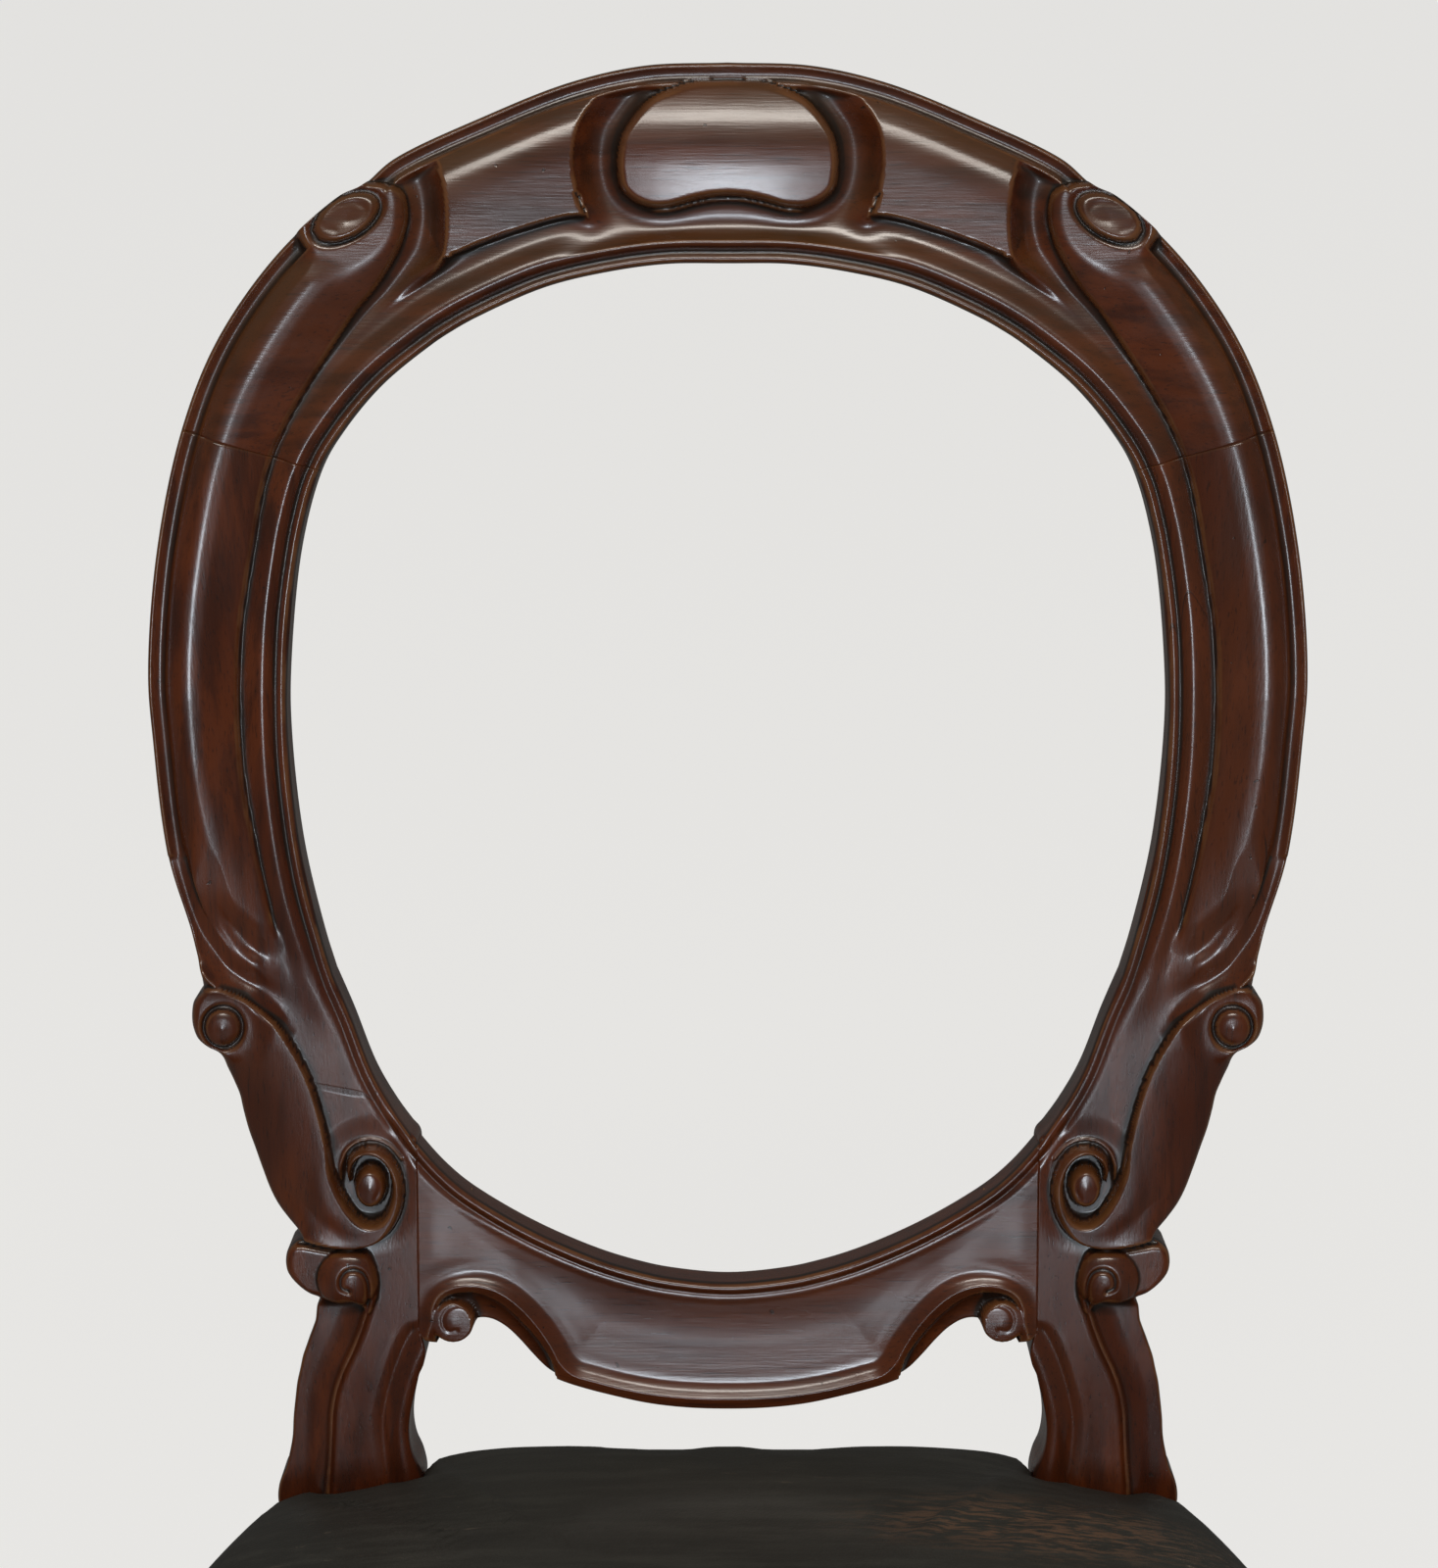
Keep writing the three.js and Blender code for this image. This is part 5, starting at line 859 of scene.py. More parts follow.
seat_rail("front_seat_rail_moulded", np.linspace(8.8, 13.2, 90), "front_seat_rail", 12.0)
seat_rail("side_seat_rail_right_moulded", np.linspace(0, 5.5, 80), "side_seat_rail_right")
seat_rail("side_seat_rail_left_moulded", np.linspace(22, 16.5, 80), "side_seat_rail_left")
back_section = eased([(134, RAIL_BOTTOM), (134, RAIL_TOP), (SEAT_REAR, RAIL_TOP), (SEAT_REAR, RAIL_BOTTOM)], 1.6)
back_share = np.concatenate([[-1, -0.99], np.linspace(-0.97, 0.97, 25), [0.99, 1]])[:, None]
back_half = 117.6 + 3.9 * (RAIL_TOP - back_section[None, :, 1]) / (RAIL_TOP - RAIL_BOTTOM)
rings = np.concatenate([(back_share * back_half)[..., None], np.repeat(back_section[None], len(back_share), 0)], -1)
stands_for(tube_mesh("back_seat_rail_planed", rings / 1000), ["back_seat_rail"], mahogany_across)

# Front legs
# Cabriole legs cut from square timber: the block fills the corner of the seat flush with the rails, the knee
# swells out with a carved husk between two scrolls, and the ankle turns out into the toe.
LEG_PLACE = (210.0, -225.0)
FRONT_JOINT, SIDE_JOINT = -107.8, 19.0
# Share of the height, throw outwards, width and squareness.
cabriole = np.array([
    (1, 0, 1, 7), (0.93, 0, 1, 7), (0.858, 0, 1, 7), (0.85, 0, 1, 6.5), (0.835, 0.08, 1.02, 5),
    (0.8, 0.55, 1.1, 3.4), (0.75, 0.92, 1.13, 2.8), (0.69, 1, 1.08, 2.6), (0.6, 0.82, 0.95, 2.5),
    (0.5, 0.4, 0.82, 2.4), (0.38, -0.1, 0.69, 2.3), (0.27, -0.42, 0.59, 2.2), (0.18, -0.5, 0.53, 2.1),
    (0.12, -0.35, 0.53, 2.1), (0.08, 0, 0.6, 2.1), (0.05, 0.45, 0.74, 2.2), (0.025, 0.7, 0.82, 2.2),
    (0.008, 0.68, 0.76, 2.2), (0, 0.62, 0.66, 2.2)])
level = np.concatenate([[RAIL_TOP, 437.2], np.linspace(430, 402.8, 5), [402.25, SHOW_WOOD_TOP],
                        np.linspace(400, 372.4, 9), np.linspace(371.8, 235, 190), np.linspace(234, 0, 130)])[:, None]
drawn = follow(cabriole, np.linspace(0, len(cabriole) - 1, 400))[::-1]
throw, width, power = (np.interp(level, drawn[:, 0] * RAIL_TOP, drawn[:, i]) for i in (1, 2, 3))
FLUSH_COUNT, HALF_BLOCK, KNEE_THROW = 88, 22, 17
turn = np.radians(np.concatenate([np.linspace(FRONT_JOINT, SIDE_JOINT, FLUSH_COUNT),
                                  np.linspace(SIDE_JOINT + 0.4, 360 + FRONT_JOINT - 0.4, 80)]))[None, :]
flush_zone = np.arange(turn.size)[None, :] < FLUSH_COUNT
c, s = np.cos(turn), np.sin(turn)
radius = width * HALF_BLOCK / (np.abs(c) ** power + np.abs(s) ** power) ** (1 / power)


def to_outline(grow):
    """Distance from the leg's middle to the outline of the seat in each direction, by halving."""
    outline = np.vstack([seat_edge(np.linspace(2, 12, 240), grow), [(0, 0)]])
    near, far = np.zeros(turn.size), np.full(turn.size, 60.0)
    for _ in range(22):
        middle = (near + far) / 2
        within = inside(LEG_PLACE[0] + middle * c[0], LEG_PLACE[1] + middle * s[0], outline) > 0
        near, far = np.where(within, middle, near), np.where(within, far, middle)
    return near[None, :]


proud_reach, seat_reach = to_outline(PROUD), to_outline(0.0)
shift = throw * KNEE_THROW * math.sqrt(0.5)
for zone, limit in ((level > 402.1, seat_reach), ((level <= 402.1) & (level >= RAIL_BOTTOM), proud_reach)):
    radius = np.where(zone, np.where(flush_zone, limit, np.minimum(radius, limit)), radius)
room = np.maximum(proud_reach - shift * (c - s) - radius, 0) * flush_zone * ease((level - 342) / 30)
radius = np.where(level < RAIL_BOTTOM, radius + room, radius)
# The carving on the knee, drawn over the surface: a is the way round from the leg's outer corner.
a = (np.mod(turn + math.pi / 4 + math.pi, 2 * math.pi) - math.pi) * 25 + 0 * level
b = level + 0 * turn
way = np.linspace(0, 1, 70)
KNEE_EYE = (15.5, 341)
spiral = np.stack([KNEE_EYE[0] + (9 - 7.4 * way) * np.cos(math.radians(150) - 9.2 * way),
                   KNEE_EYE[1] + (9 - 7.4 * way) * np.sin(math.radians(150) - 9.2 * way)], axis=1)
stem = smooth_line([(1.5, 262), (5.5, 290), (8.5, 312), (8.0, 330), (7.7, 345.5)], 3)
husk = smooth_line([
    (0, 262), (2.6, 284), (4.6, 304), (4.4, 322), (2.4, 338), (0, 347), (-2.4, 338), (-4.4, 322), (-4.6, 304),
    (-2.6, 284)], 3)
side_a = np.abs(a)
carving = 2.0 * np.exp(-(reach(side_a, b, np.vstack([stem, spiral])) / 1.5) ** 2)
carving = np.maximum(carving, 1.9 * quarter(inside(a, b, husk) / 2.6) - groove(side_a, 0.7, 0.7))
carving = np.maximum(carving, 2.2 * quarter((2.6 - np.hypot(side_a - KNEE_EYE[0], b - KNEE_EYE[1])) / 2.2))
radius = radius + carving - 2.2 * ease((b - 246) / 26) * ease((362 - b) / 12) * ease((36 - side_a) / 10)
# hollow darkens the ground beside the carving: partly wax and dust, partly painted shade.
leg_masks = {"arris": np.clip((carving - blurred(carving, 2)) / 0.7, 0, 1),
             "hollow": np.clip((blurred(carving, 5) - carving) / 0.8, 0, 1)}
leg = np.stack([LEG_PLACE[0] + shift + radius * c, LEG_PLACE[1] - shift + radius * s, b], axis=-1) / 1000
for side, flip in (("right", 1), ("left", -1)):
    stands_for(tube_mesh(f"front_leg_{side}_carved", leg * [flip, 1, 1], leg_masks), [f"front_leg_{side}"],
               mahogany_upright)

# Corner blocks, dowels and screws
# Beech blocks are screwed into the inner corners of the frame with steel screws. The beech dowels are
# hidden in the joints of the back.


def plain_material(name, metal=0.0):
    """A material with its tree, its shader and its object coordinates."""
    made, tree, shader = new_material(name)
    shader.inputs["Metallic"].default_value = metal
    return made, tree, shader, node(tree, "ShaderNodeTexCoord").outputs["Object"]


def finish_material(tree, shader, color, roughness, height, strength, distance):
    """Colour, roughness and bump linked into the shader."""
    bump = node(tree, "ShaderNodeBump", {"Height": height, "Strength": strength, "Distance": distance})
    plug(tree, shader, {"Base Color": color, "Roughness": roughness, "Normal": bump.outputs["Normal"]})


beech, tree, shader, place = plain_material("oiled_beech")
fibre = noise(tree, stretched(tree, place, (18, 220, 220)), 1, 4)
fleck = noise(tree, stretched(tree, place, (160, 900, 900)), 1, 2)
tint = blend(tree, between(tree, fibre, 0.35, 0.65), (0.19, 0.098, 0.042, 1), (0.30, 0.175, 0.085, 1))
tint = stained(tree, tint, fleck, 0.6, 0.72, 0.6, (0.09, 0.04, 0.018))
tint = stained(tree, tint, noise(tree, place, 30), 0.5, 0.7, 0.4, (0.07, 0.045, 0.028))
finish_material(tree, shader, tint, between(tree, fibre, 0.3, 0.7, 0.55, 0.72), fibre, 0.35, 0.0006)

steel, tree, shader, place = plain_material("old_screw_steel", 1.0)
spots = noise(tree, place, 700, 4, 0.7)
tint = blend(tree, between(tree, spots, 0.45, 0.62), (0.24, 0.22, 0.2, 1), (0.10, 0.045, 0.02, 1))
finish_material(tree, shader, tint, between(tree, spots, 0.3, 0.7, 0.38, 0.75), spots, 0.4, 0.0002)

for name, cad_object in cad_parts.items():
    if "dowel" in name or "block" in name or "screw" in name:
        cad_object.data.materials.clear()
        cad_object.data.materials.append(steel if "screw" in name else beech)

# Webbing
# Four strips of jute webbing run from the back rail to the front and three across, woven over and under
# each other and tacked on top of the rails.
jute, tree, shader, place = plain_material("jute_webbing_weave")
warp = node(tree, "ShaderNodeAttribute", attribute_name="across").outputs["Fac"]
weft = node(tree, "ShaderNodeAttribute", attribute_name="along").outputs["Fac"]
rows = calc(tree, "PINGPONG", calc(tree, "ADD", weft, calc(tree, "PINGPONG", warp, 5.0)), 0.8)
yarns = calc(tree, "PINGPONG", warp, 0.6)
weave = calc(tree, "ADD", times(tree, rows, 0.9), times(tree, yarns, 0.5))
fuzz = noise(tree, place, 900, 3, 0.7)
tint = blend(tree, between(tree, weave, 0.2, 0.8), (0.10, 0.062, 0.028, 1), (0.30, 0.205, 0.11, 1))
tint = blend(tree, times(tree, fuzz, 0.45), tint, (0.36, 0.27, 0.16, 1))
stripe = calc(tree, "ABSOLUTE", calc(tree, "SUBTRACT", calc(tree, "ABSOLUTE", warp), 18.0))
tint = blend(tree, between(tree, stripe, 1.2, 1.6, 0.75, 0.0), tint, (0.035, 0.020, 0.016, 1))
tint = stained(tree, tint, noise(tree, place, 22), 0.45, 0.7, 0.5, (0.085, 0.060, 0.038))
finish_material(tree, shader, tint, between(tree, fuzz, 0.3, 0.7, 0.8, 0.95),
                calc(tree, "ADD", weave, times(tree, fuzz, 0.4)), 0.8, 0.0008)
WEB_WIDTH, WEB_THICKNESS, WEB_BASE, WEB_WEAVE = 50, 1.8, 439.2, 2.3
half_web, half_thick = WEB_WIDTH / 2, WEB_THICKNESS / 2
web_along, web_across = (-87, -29, 29, 87), (-146, -50, 46)


def webbing(name, centre, start, end, crossings, over, is_along, cad_node):
    """A flat strip with rounded edges, lifted by the weave wherever it lies over a crossing strip, with a
    smooth step in the gaps between the crossings."""
    run = np.linspace(start, end, int((end - start) / 2.2))
    lift = np.zeros(run.size)
    for place, is_over in zip(crossings, over):
        if is_over:
            lift = np.maximum(lift, ease((half_web + 5.5 - np.abs(run - place)) / 5.5))
    rim = eased([(-half_web, -half_thick), (half_web, -half_thick), (half_web, half_thick), (-half_web, half_thick)],
                0.6, 2)
    side = np.linspace(-22, 22, 12)
    section = np.vstack([np.stack([side, np.full(12, -half_thick)], 1), rim[rim[:, 0] > 0],
                         np.stack([side[::-1], np.full(12, half_thick)], 1), rim[rim[:, 0] < 0]])
    wander = 0.5 * np.sin(run / 31 + centre)
    across = centre + section[None, :, 0] + wander[:, None] * (np.abs(section[None, :, 0]) > 22)
    z = WEB_BASE + WEB_WEAVE * lift[:, None] + section[None, :, 1]
    along = np.repeat(run[:, None], len(section), 1)
    rings = np.stack([across, along, z] if is_along else [along, across, z], axis=-1) / 1000
    masks = {"across": np.repeat(section[None, :, 0], len(run), 0), "along": along}
    piece = stands_for(tube_mesh(name, rings, masks), [cad_node], jute)


for i, x in enumerate(web_along):
    cad_node = f"webbing_lengthways_{i + 1}"
    webbing(f"{cad_node}_woven", x, -250, 150, web_across, [(k + i) % 2 == 0 for k in range(3)], True, cad_node)
for i, y in enumerate(web_across):
    cad_node = f"webbing_crossways_{i + 1}"
    half_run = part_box(cad_node)[1][0] * 1000
    webbing(f"{cad_node}_woven", y, -half_run, half_run, web_along, [(k + i) % 2 == 1 for k in range(4)], False,
            cad_node)

# Hessian, stuffing and leather
# Hessian is stretched over the webbing, curled hair is built up on it to a low crown, and one hide is
# drawn over the stuffing, cut in round the posts and tacked to the faces of the rails.
SEAT_EDGE, CROWN, NOTCH_SIDE, NOTCH_FRONT = 445, 37, 115.1, 135.2
seat_middle = np.array([0, -50.0])
half_cells = 46
unit = half_cells // 23
beside_post = np.array([(NOTCH_SIDE, SEAT_REAR), (NOTCH_SIDE, NOTCH_FRONT)])
before_post = np.array([
    (NOTCH_SIDE, NOTCH_FRONT), (118, 133.4), (121, 132.4), (127, 134.8), (131, 133.9), (148.5, 133.9), (150, 132.8),
    (151.5, 134), (154, 137.8), (164, 138.4), (168.5, 136), (POST_OUTER_SIDE, 130.6)])


def spaced(points, cells):
    """Points spaced evenly along a line, without its last one."""
    points = np.asarray(points, float)
    run = np.concatenate([[0], np.cumsum(np.linalg.norm(np.diff(points, axis=0), axis=1))])
    at = np.linspace(0, run[-1], cells + 1)[:-1]
    return np.stack([np.interp(at, run, points[:, 0]), np.interp(at, run, points[:, 1])], axis=1)


def border():
    """The seat's outline as a closed line with its outward normals: down the right side, across the front,
    up the left side, and over the back with a notch round each post. Normals are nought in the notches."""
    lines, normals = [], []
    for start, end in ((0, 7), (7, 15), (15, 22)):
        at = np.linspace(start, end, 400)
        edge, grown = seat_edge(at), seat_edge(at, 1.0)
        lines.append(spaced(edge, 2 * half_cells))
        normals.append(spaced(grown, 2 * half_cells) - lines[-1])
    back = [(-NOTCH_SIDE, SEAT_REAR), (NOTCH_SIDE, SEAT_REAR)]
    for points, cells, normal in ((before_post[::-1] * to_left, 6, 0), (beside_post[::-1] * to_left, 3, 0),
                                  (back, 28, 1), (beside_post, 3, 0), (before_post, 6, 0)):
        lines.append(spaced(points, cells * unit))
        normals.append(np.repeat([[0.0, normal]], cells * unit, 0))
    lines, normals = np.vstack(lines), np.vstack(normals)
    first = 6 * half_cells
    normals[first] = (-0.936, 0.352)
    normals[first + 37 * unit] = (0, 1)
    return lines, normals / np.maximum(np.linalg.norm(normals, axis=1), 1)[:, None]


edge_line, edge_normal = border()
round_rear = smooth_line([(POST_OUTER_SIDE, 130.6), (163, 146), (148, 155.5), (125, 159.5), (95, SEAT_REAR),
                          (0, SEAT_REAR)], 4)
whole = np.vstack([seat_edge(np.linspace(0, 22, 300)), round_rear[::-1] * to_left, round_rear[::-1]])
whole_angle = np.unwrap(np.arctan2(*(whole - seat_middle).T[::-1]))
whole_reach = np.linalg.norm(whole - seat_middle, axis=1)
order = np.argsort(whole_angle)
dome = [
    (0, 1), (0.15, 0.99), (0.4, 0.92), (0.62, 0.8), (0.78, 0.68), (0.88, 0.56), (0.95, 0.38), (0.985, 0.16),
    (1, -0.1), (1.02, -0.12)]
swell = [(0, 0), (0.5, 0), (0.88, 0), (0.95, 0.1), (0.985, 0.5), (1, 1), (1.02, 1)]
post_lines = np.vstack([beside_post, before_post[1:]])


def seat_grid(cells):
    """A square grid laid over the seat. A grid point's larger coordinate m is its share of the way from the
    middle to the outline, and the other one says to which point of the outline."""
    line = np.linspace(-1, 1, 2 * cells + 1)
    a, b = np.meshgrid(line, line, indexing="ij")
    m = np.maximum(np.abs(a), np.abs(b))
    p, q = a / np.where(m > 0, m, 1), b / np.where(m > 0, m, 1)
    side = np.where(p >= 1, (1 - q) / 2, np.where(q <= -1, 1 + (1 - p) / 2, np.where(p <= -1, 2 + (1 + q) / 2,
                                                                                     3 + (1 + p) / 2)))
    at = side / 4 * len(edge_line)
    low = np.floor(at).astype(int) % len(edge_line)
    t = (at - np.floor(at))[..., None]
    high = (low + 1) % len(edge_line)
    edge = edge_line[low] * (1 - t) + edge_line[high] * t
    normal = edge_normal[low] * (1 - t) + edge_normal[high] * t
    return m, edge, normal


def dome_height(x, y):
    """Share of the way to the seat's whole outline, and the leather's height there: the drawn dome, less a
    bell-shaped tuck round each post and a steeper fold right against it."""
    angle = np.arctan2(y - seat_middle[1], x)
    far = np.interp(angle, whole_angle[order], whole_reach[order], period=2 * math.pi)
    q = np.hypot(x, y - seat_middle[1]) / far
    rise = profile(np.minimum(q, 1.01), dome)
    depth = 9 * np.clip(2 * rise, 0, 1) * np.exp(-((np.abs(x) - 145.6) ** 2 + (y - 135) ** 2) / 42 ** 2)
    to_post = reach(np.abs(x), y, post_lines)
    return q, SEAT_EDGE + CROWN * rise - depth - 3 * np.exp(-to_post / 8) - 2.2 * np.exp(-(to_post / 2.2) ** 2)


def seat_top(cells, inset=0.0):
    """The dome as an array of places, with its outline drawn in by an inset."""
    m, edge, normal = seat_grid(cells)
    way = edge - seat_middle
    way = way * (1 - inset / np.linalg.norm(way, axis=-1, keepdims=True))
    share = (1 - (1 - m) * (0.5 + 0.5 * (1 - m)))[..., None]
    flat = seat_middle + share * way
    q, z = dome_height(flat[..., 0], flat[..., 1])
    grow = (1.9 + 3.5 * profile(np.minimum(q, 1.01), swell))[..., None] * (inset == 0)
    flat = seat_middle + share * (way + normal * grow)
    return np.concatenate([flat, z[..., None]], axis=-1)


def grid_faces(count, flip=False):
    """Quads of a square grid of points."""
    i, j = np.meshgrid(np.arange(count - 1), np.arange(count - 1), indexing="ij")
    quads = np.stack([i * count + j, (i + 1) * count + j, (i + 1) * count + j + 1, i * count + j + 1], axis=-1)
    return quads.reshape(-1, 4)[:, ::-1] if flip else quads.reshape(-1, 4)


def rim_points(count):
    """The grid's outer points in the order of the outline: right side to the front, front, left, back."""
    last = count - 1
    k = np.arange(last)
    return np.concatenate([last * count + (last - k), (last - k) * count, k, k * count + last])


def band_faces(upper, lower):
    """Quads between two closed lines of points, upper and lower, that face outwards."""
    return np.stack([upper, np.roll(upper, -1), np.roll(lower, -1), lower], axis=-1)


def soft_mesh(name, places, faces):
    """A smooth object from places in millimetres."""
    piece = new_object(name, (places / 1000).tolist(), np.asarray(faces).tolist())
    piece.data.polygons.foreach_set("use_smooth", np.ones(len(faces), bool))
    piece.data.update()
    return piece


def slab(name, top, bottom_z):
    """A closed form between a grid of places and a bottom grid under it."""
    count = top.shape[0]
    upper = top.reshape(-1, 3)
    lower = upper.copy()
    lower[:, 2] = np.ravel(bottom_z)
    rim = rim_points(count)
    faces = np.vstack([grid_faces(count), grid_faces(count, True) + count ** 2, band_faces(rim, rim + count ** 2)])
    return soft_mesh(name, np.vstack([upper, lower]), faces)


def vector_calc(tree, operation, *vectors):
    """A calculation on vectors, as its node."""
    return node(tree, "ShaderNodeVectorMath", dict(enumerate(vectors)), operation=operation)


hessian_cloth, tree, shader, place = plain_material("hessian_plain_weave")
wander = node(tree, "ShaderNodeTexNoise", {"Vector": place, "Scale": 60.0}).outputs["Color"]
wander = vector_calc(tree, "MULTIPLY", wander, (0.0008, 0.0008, 0.0)).outputs[0]
parts = node(tree, "ShaderNodeSeparateXYZ", {
    "Vector": vector_calc(tree, "ADD", place, wander).outputs[0]}).outputs
threads = [calc(tree, "SINE", times(tree, parts[key], 2900.0)) for key in ("X", "Y")]
weave = times(tree, threads[0], threads[1])
fuzz = noise(tree, place, 700, 3, 0.7)
tint = blend(tree, between(tree, weave, -0.6, 0.7), (0.17, 0.11, 0.055, 1), (0.42, 0.31, 0.18, 1))
tint = blend(tree, times(tree, fuzz, 0.4), tint, (0.30, 0.22, 0.13, 1))
tint = stained(tree, tint, noise(tree, place, 14), 0.45, 0.7, 0.5, (0.12, 0.085, 0.05))
finish_material(tree, shader, tint, between(tree, fuzz, 0.3, 0.7, 0.85, 0.97), weave, 0.7, 0.0005)
top = seat_top(34, 5.0)
between_webs = 1.0
for lines, k, slope in ((web_along, 0, 2), (web_across, 1, 12)):
    near = np.min([np.abs(top[..., k] - line) for line in lines], axis=0)
    between_webs = between_webs * ease((near - half_web) / slope)
top[..., 2] = 443.5 - 0.9 * between_webs
hessian = slab("hessian_stretched", top, top[..., 2] - 0.8)
stands_for(hessian, ["hessian"], hessian_cloth)

curled_hair, tree, shader, place = plain_material("curled_hair")
strands = noise(tree, place, 320, 6, 0.85)
tint = blend(tree, between(tree, strands, 0.4, 0.6), (0.018, 0.012, 0.008, 1), (0.11, 0.075, 0.045, 1))
finish_material(tree, shader, tint, between(tree, strands, 0.3, 0.7, 0.7, 0.95), strands, 1.0, 0.002)
top = seat_top(34, 3.4)
top[..., 2] = np.maximum(top[..., 2] - 3.0, 444.8)
stuffing = slab("stuffing_crowned", top, 443.8)
stands_for(stuffing, ["stuffing_pad"], curled_hair)

count = 2 * half_cells + 1
top = seat_top(half_cells)
rim = rim_points(count)
rim_place = top.reshape(-1, 3)[rim]
is_side = np.hypot(*edge_normal.T) > 0.5
side_wall = np.array([(441.3, 5.4), (436, 5.3), (428, 4.8), (419, 3.8), (410, 2.6), (402.4, 1.9)])
wall_rows = 14
rows = np.linspace(0, 1, wall_rows + 1)[1:, None]
wall = follow(side_wall, np.linspace(0, 5, wall_rows + 1)[1:])
wall_xy = edge_line[None] + edge_normal[None] * wall[:, 1][:, None, None]
stile_side = np.interp(wall[:, 0], [402, 420, 440, 450, 460], [118.3, 117.6, 116.2, 115.3, NOTCH_SIDE])
at_corner = is_side & (np.abs(np.abs(edge_line[:, 0]) - NOTCH_SIDE) < 0.05)
wall_xy[:, at_corner, 0] = np.sign(edge_line[at_corner, 0])[None] * stile_side[:, None]
side_places = np.concatenate([wall_xy, np.repeat(wall[:, :1], len(rim), 1)[..., None]], axis=-1)
notch_places = np.repeat(rim_place[None], wall_rows, 0)
notch_places[..., 2] = rim_place[None, :, 2] * (1 - rows) + 440.5 * rows
walls = np.where(is_side[None, :, None], side_places, notch_places)
places = np.vstack([top.reshape(-1, 3), walls.reshape(-1, 3)])
levels = [rim] + [count ** 2 + i * len(rim) + np.arange(len(rim)) for i in range(wall_rows)]
faces = np.vstack([grid_faces(count)] + [band_faces(upper, lower) for upper, lower in zip(levels, levels[1:])])


def drawn_tight(places, faces):
    """The leather blown up from a flatter start by a cloth simulation with its tacked edges pinned, as moves of
    the points in millimetres."""
    start = places.copy()
    start[:, 2] = np.where(start[:, 2] > SEAT_EDGE, SEAT_EDGE + (start[:, 2] - SEAT_EDGE) * 0.8, start[:, 2])
    model = soft_mesh("leather_in_the_making", start, faces)
    held = model.vertex_groups.new(name="tacked")
    pinned = np.zeros(len(start), bool)
    pinned[count ** 2:] = np.where(is_side[None, :], wall[:, :1] < 412, True).ravel()
    pinned[rim] = ~is_side
    held.add(np.flatnonzero(pinned).tolist(), 1.0, "REPLACE")
    cloth = model.modifiers.new("stretch", "CLOTH")
    for key, value in (("vertex_group_mass", "tacked"), ("quality", 5), ("mass", 0.5), ("tension_stiffness", 30),
                       ("compression_stiffness", 12), ("bending_stiffness", 3), ("use_pressure", True),
                       ("uniform_pressure_force", 4), ("shrink_min", -0.03)):
        setattr(cloth.settings, key, value)
    cloth.settings.effector_weights.gravity = 0
    cloth.collision_settings.use_collision = False
    cloth.point_cache.frame_start, cloth.point_cache.frame_end = 1, 20
    for step in range(1, 21):
        bpy.context.scene.frame_set(step)
    made = model.evaluated_get(bpy.context.evaluated_depsgraph_get()).to_mesh()
    found = np.empty(len(start) * 3)
    made.vertices.foreach_get("co", found)
    bpy.data.objects.remove(model)
    bpy.context.scene.frame_set(1)
    return found.reshape(-1, 3) * 1000 - start


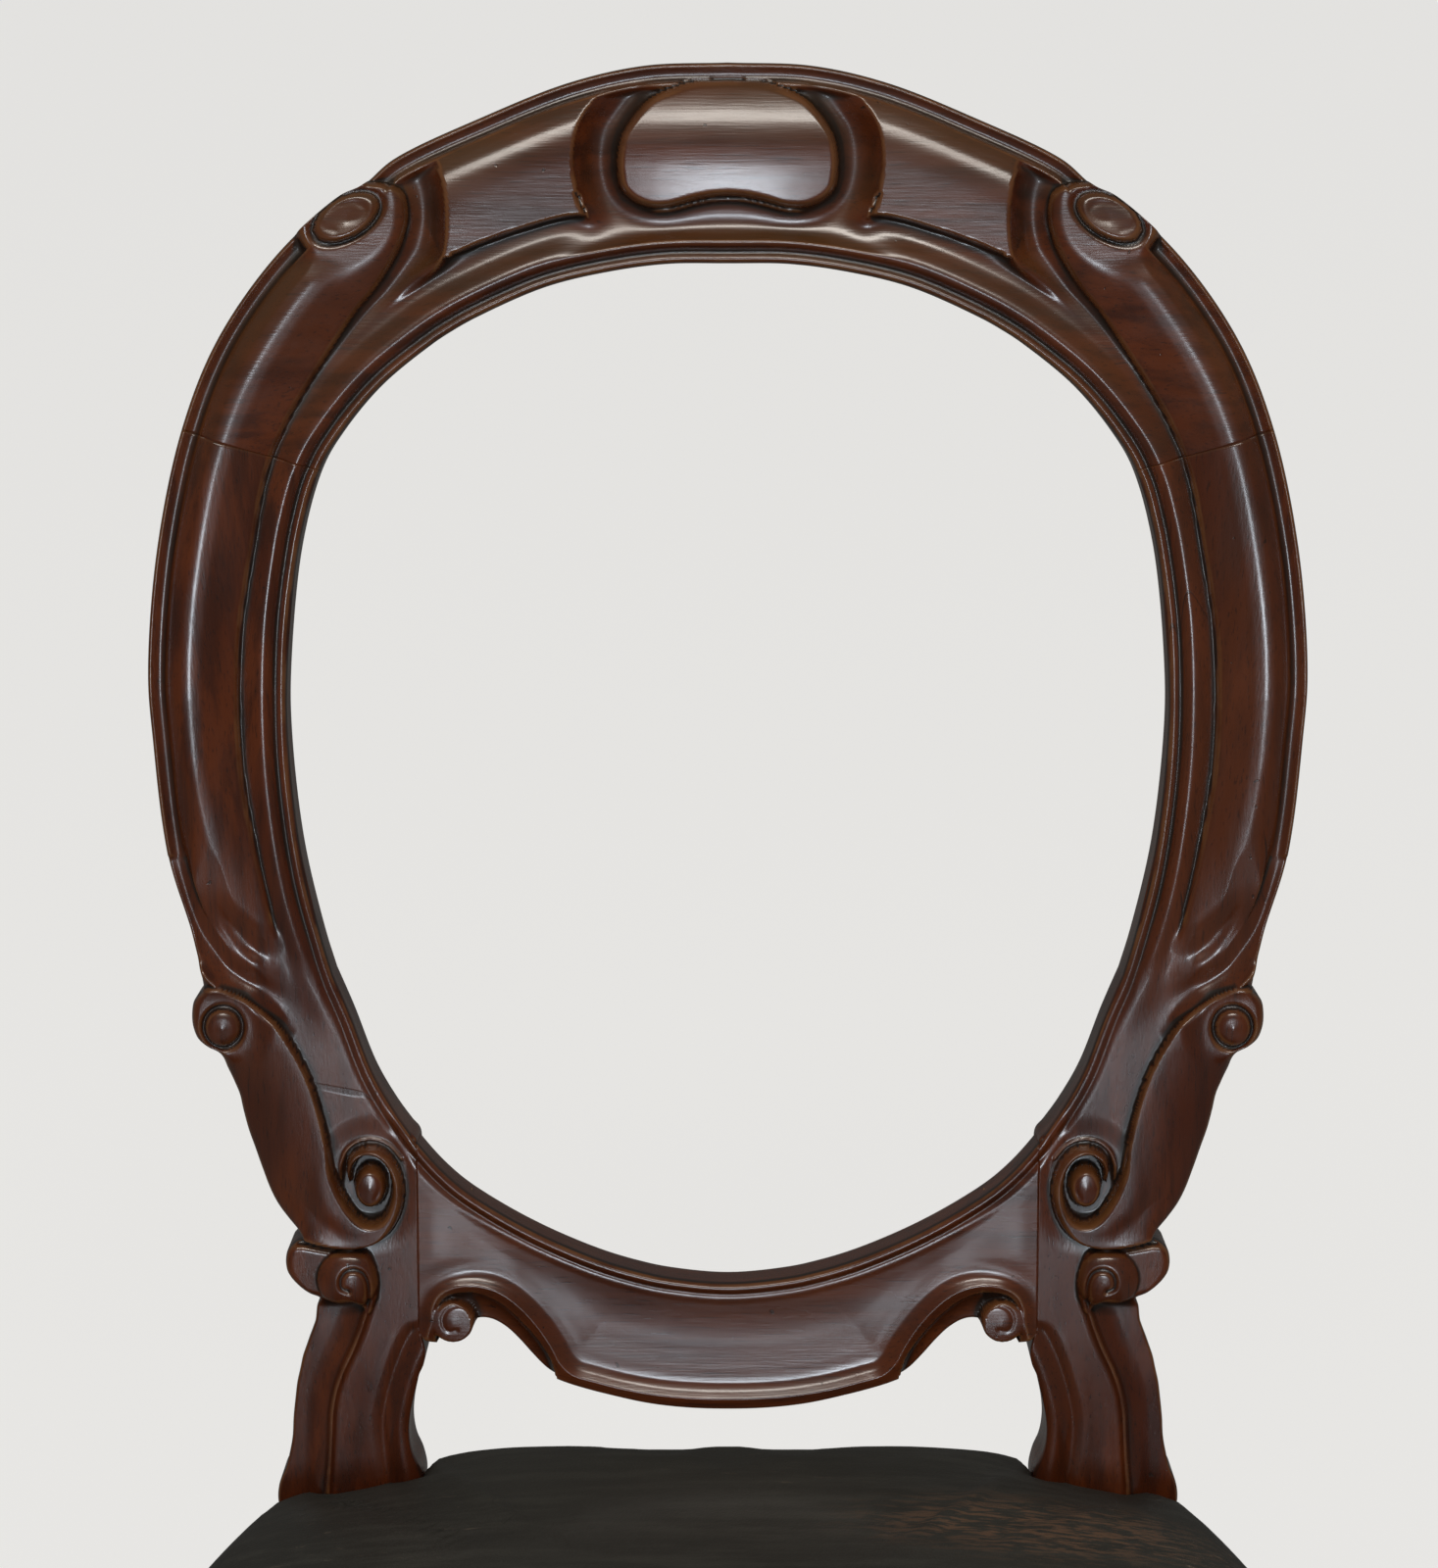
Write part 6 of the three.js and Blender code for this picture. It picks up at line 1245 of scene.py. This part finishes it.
def old_leather(name, light, worn):
    """Blackened leather: fine pebbles, cloudy and streaked from side to side, with pale flecks where the
    finish has come off, and brown patches around a place on the right where it is worn through."""
    made, tree, shader, place = plain_material(name)
    shader.inputs["Specular IOR Level"].default_value = 0.42
    pebbles = node(tree, "ShaderNodeTexVoronoi", {"Vector": place, "Scale": 780.0}).outputs["Distance"]
    clouds = noise(tree, place, 11, 4)
    streaks = noise(tree, stretched(tree, place, (16, 150, 150)), 1, 5, 0.7)
    flecks = noise(tree, stretched(tree, place, (70, 480, 480)), 1, 4, 0.65)
    patches = noise(tree, stretched(tree, place, (9, 22, 22)), 1, 3)
    dull, bright = (tuple(share * c for c in light) for share in (0.8, 1.45))
    tint = blend(tree, between(tree, clouds, 0.35, 0.65), dull + (1,), light + (1,))
    tint = stained(tree, tint, streaks, 0.42, 0.66, 0.55, bright)
    away = vector_calc(tree, "SUBTRACT", place, (0.113, 0.072, 0.47)).outputs[0]
    away = vector_calc(tree, "MULTIPLY", away, (0.6, 1.5, 1.0)).outputs[0]
    far = vector_calc(tree, "LENGTH", away).outputs["Value"]
    near = between(tree, far, 0.012, 0.055, 1, 0)
    bare = times(tree, times(tree, between(tree, flecks, 0.46, 0.58), near), worn)
    tint = blend(tree, bare, tint, (0.13, 0.075, 0.045, 1))
    chips = times(tree, between(tree, flecks, 0.63, 0.70), between(tree, patches, 0.5, 0.62))
    tint = blend(tree, times(tree, chips, 0.75 * worn), tint, (0.17, 0.135, 0.10, 1))
    rough = calc(tree, "ADD", between(tree, clouds, 0.3, 0.7, 0.46, 0.6), times(tree, chips, 0.2))
    relief = calc(tree, "ADD", times(tree, pebbles, 0.6), times(tree, streaks, 0.8))
    relief = calc(tree, "SUBTRACT", relief, times(tree, chips, 0.5))
    finish_material(tree, shader, tint, rough, relief, 0.35, 0.0004)
    return made


seat_leather = old_leather("old_black_leather", (0.036, 0.035, 0.029), 1.0)
edge_leather = old_leather("edging_leather", (0.030, 0.026, 0.021), 0.5)
lifted = drawn_tight(places, faces)[:count ** 2, 2].reshape(count, count)
places[:count ** 2, 2] += np.clip(lifted - blurred(lifted, 6), -0.8, 0.8).ravel()
cover = soft_mesh("seat_leather_drawn", places, faces)
thick = cover.modifiers.new("hide", "SOLIDIFY")
thick.thickness = 0.0016
thick.offset = -1
stands_for(cover, ["leather_cover"], seat_leather)

# Banding
# A strip of leather with two raised ridges is glued over the tacks along the leather's lower edge, round the
# front and the sides in one length and across the back in another.
ridged = eased([
    (2.05, 402.4), (2.95, 412.2), (4.7, 412.3), (5.4, 411.2), (5.3, 409.9), (4.5, 409), (4.5, 405.7), (5, 404.8),
    (4.9, 403.4), (4, 402.4)], 0.6, 2)
at = np.linspace(0.03, 21.97, 560)
middle = seat_edge(at)
outward = seat_edge(at, 1.0) - middle
plan = middle[:, None, :] + outward[:, None, :] * ridged[None, :, :1]
rings = np.concatenate([plan, np.repeat(ridged[None, :, 1:], len(at), 0)], axis=-1) / 1000
band_round = stands_for(tube_mesh("banding_round_ridged", rings), ["banding_round"], edge_leather)
x = np.linspace(-118, 118, 90)[:, None]
rings = np.stack(np.broadcast_arrays(x, SEAT_REAR + ridged[None, :, 0], ridged[None, :, 1]), axis=-1) / 1000
band_rear = stands_for(tube_mesh("banding_rear_ridged", rings), ["banding_rear"], edge_leather)
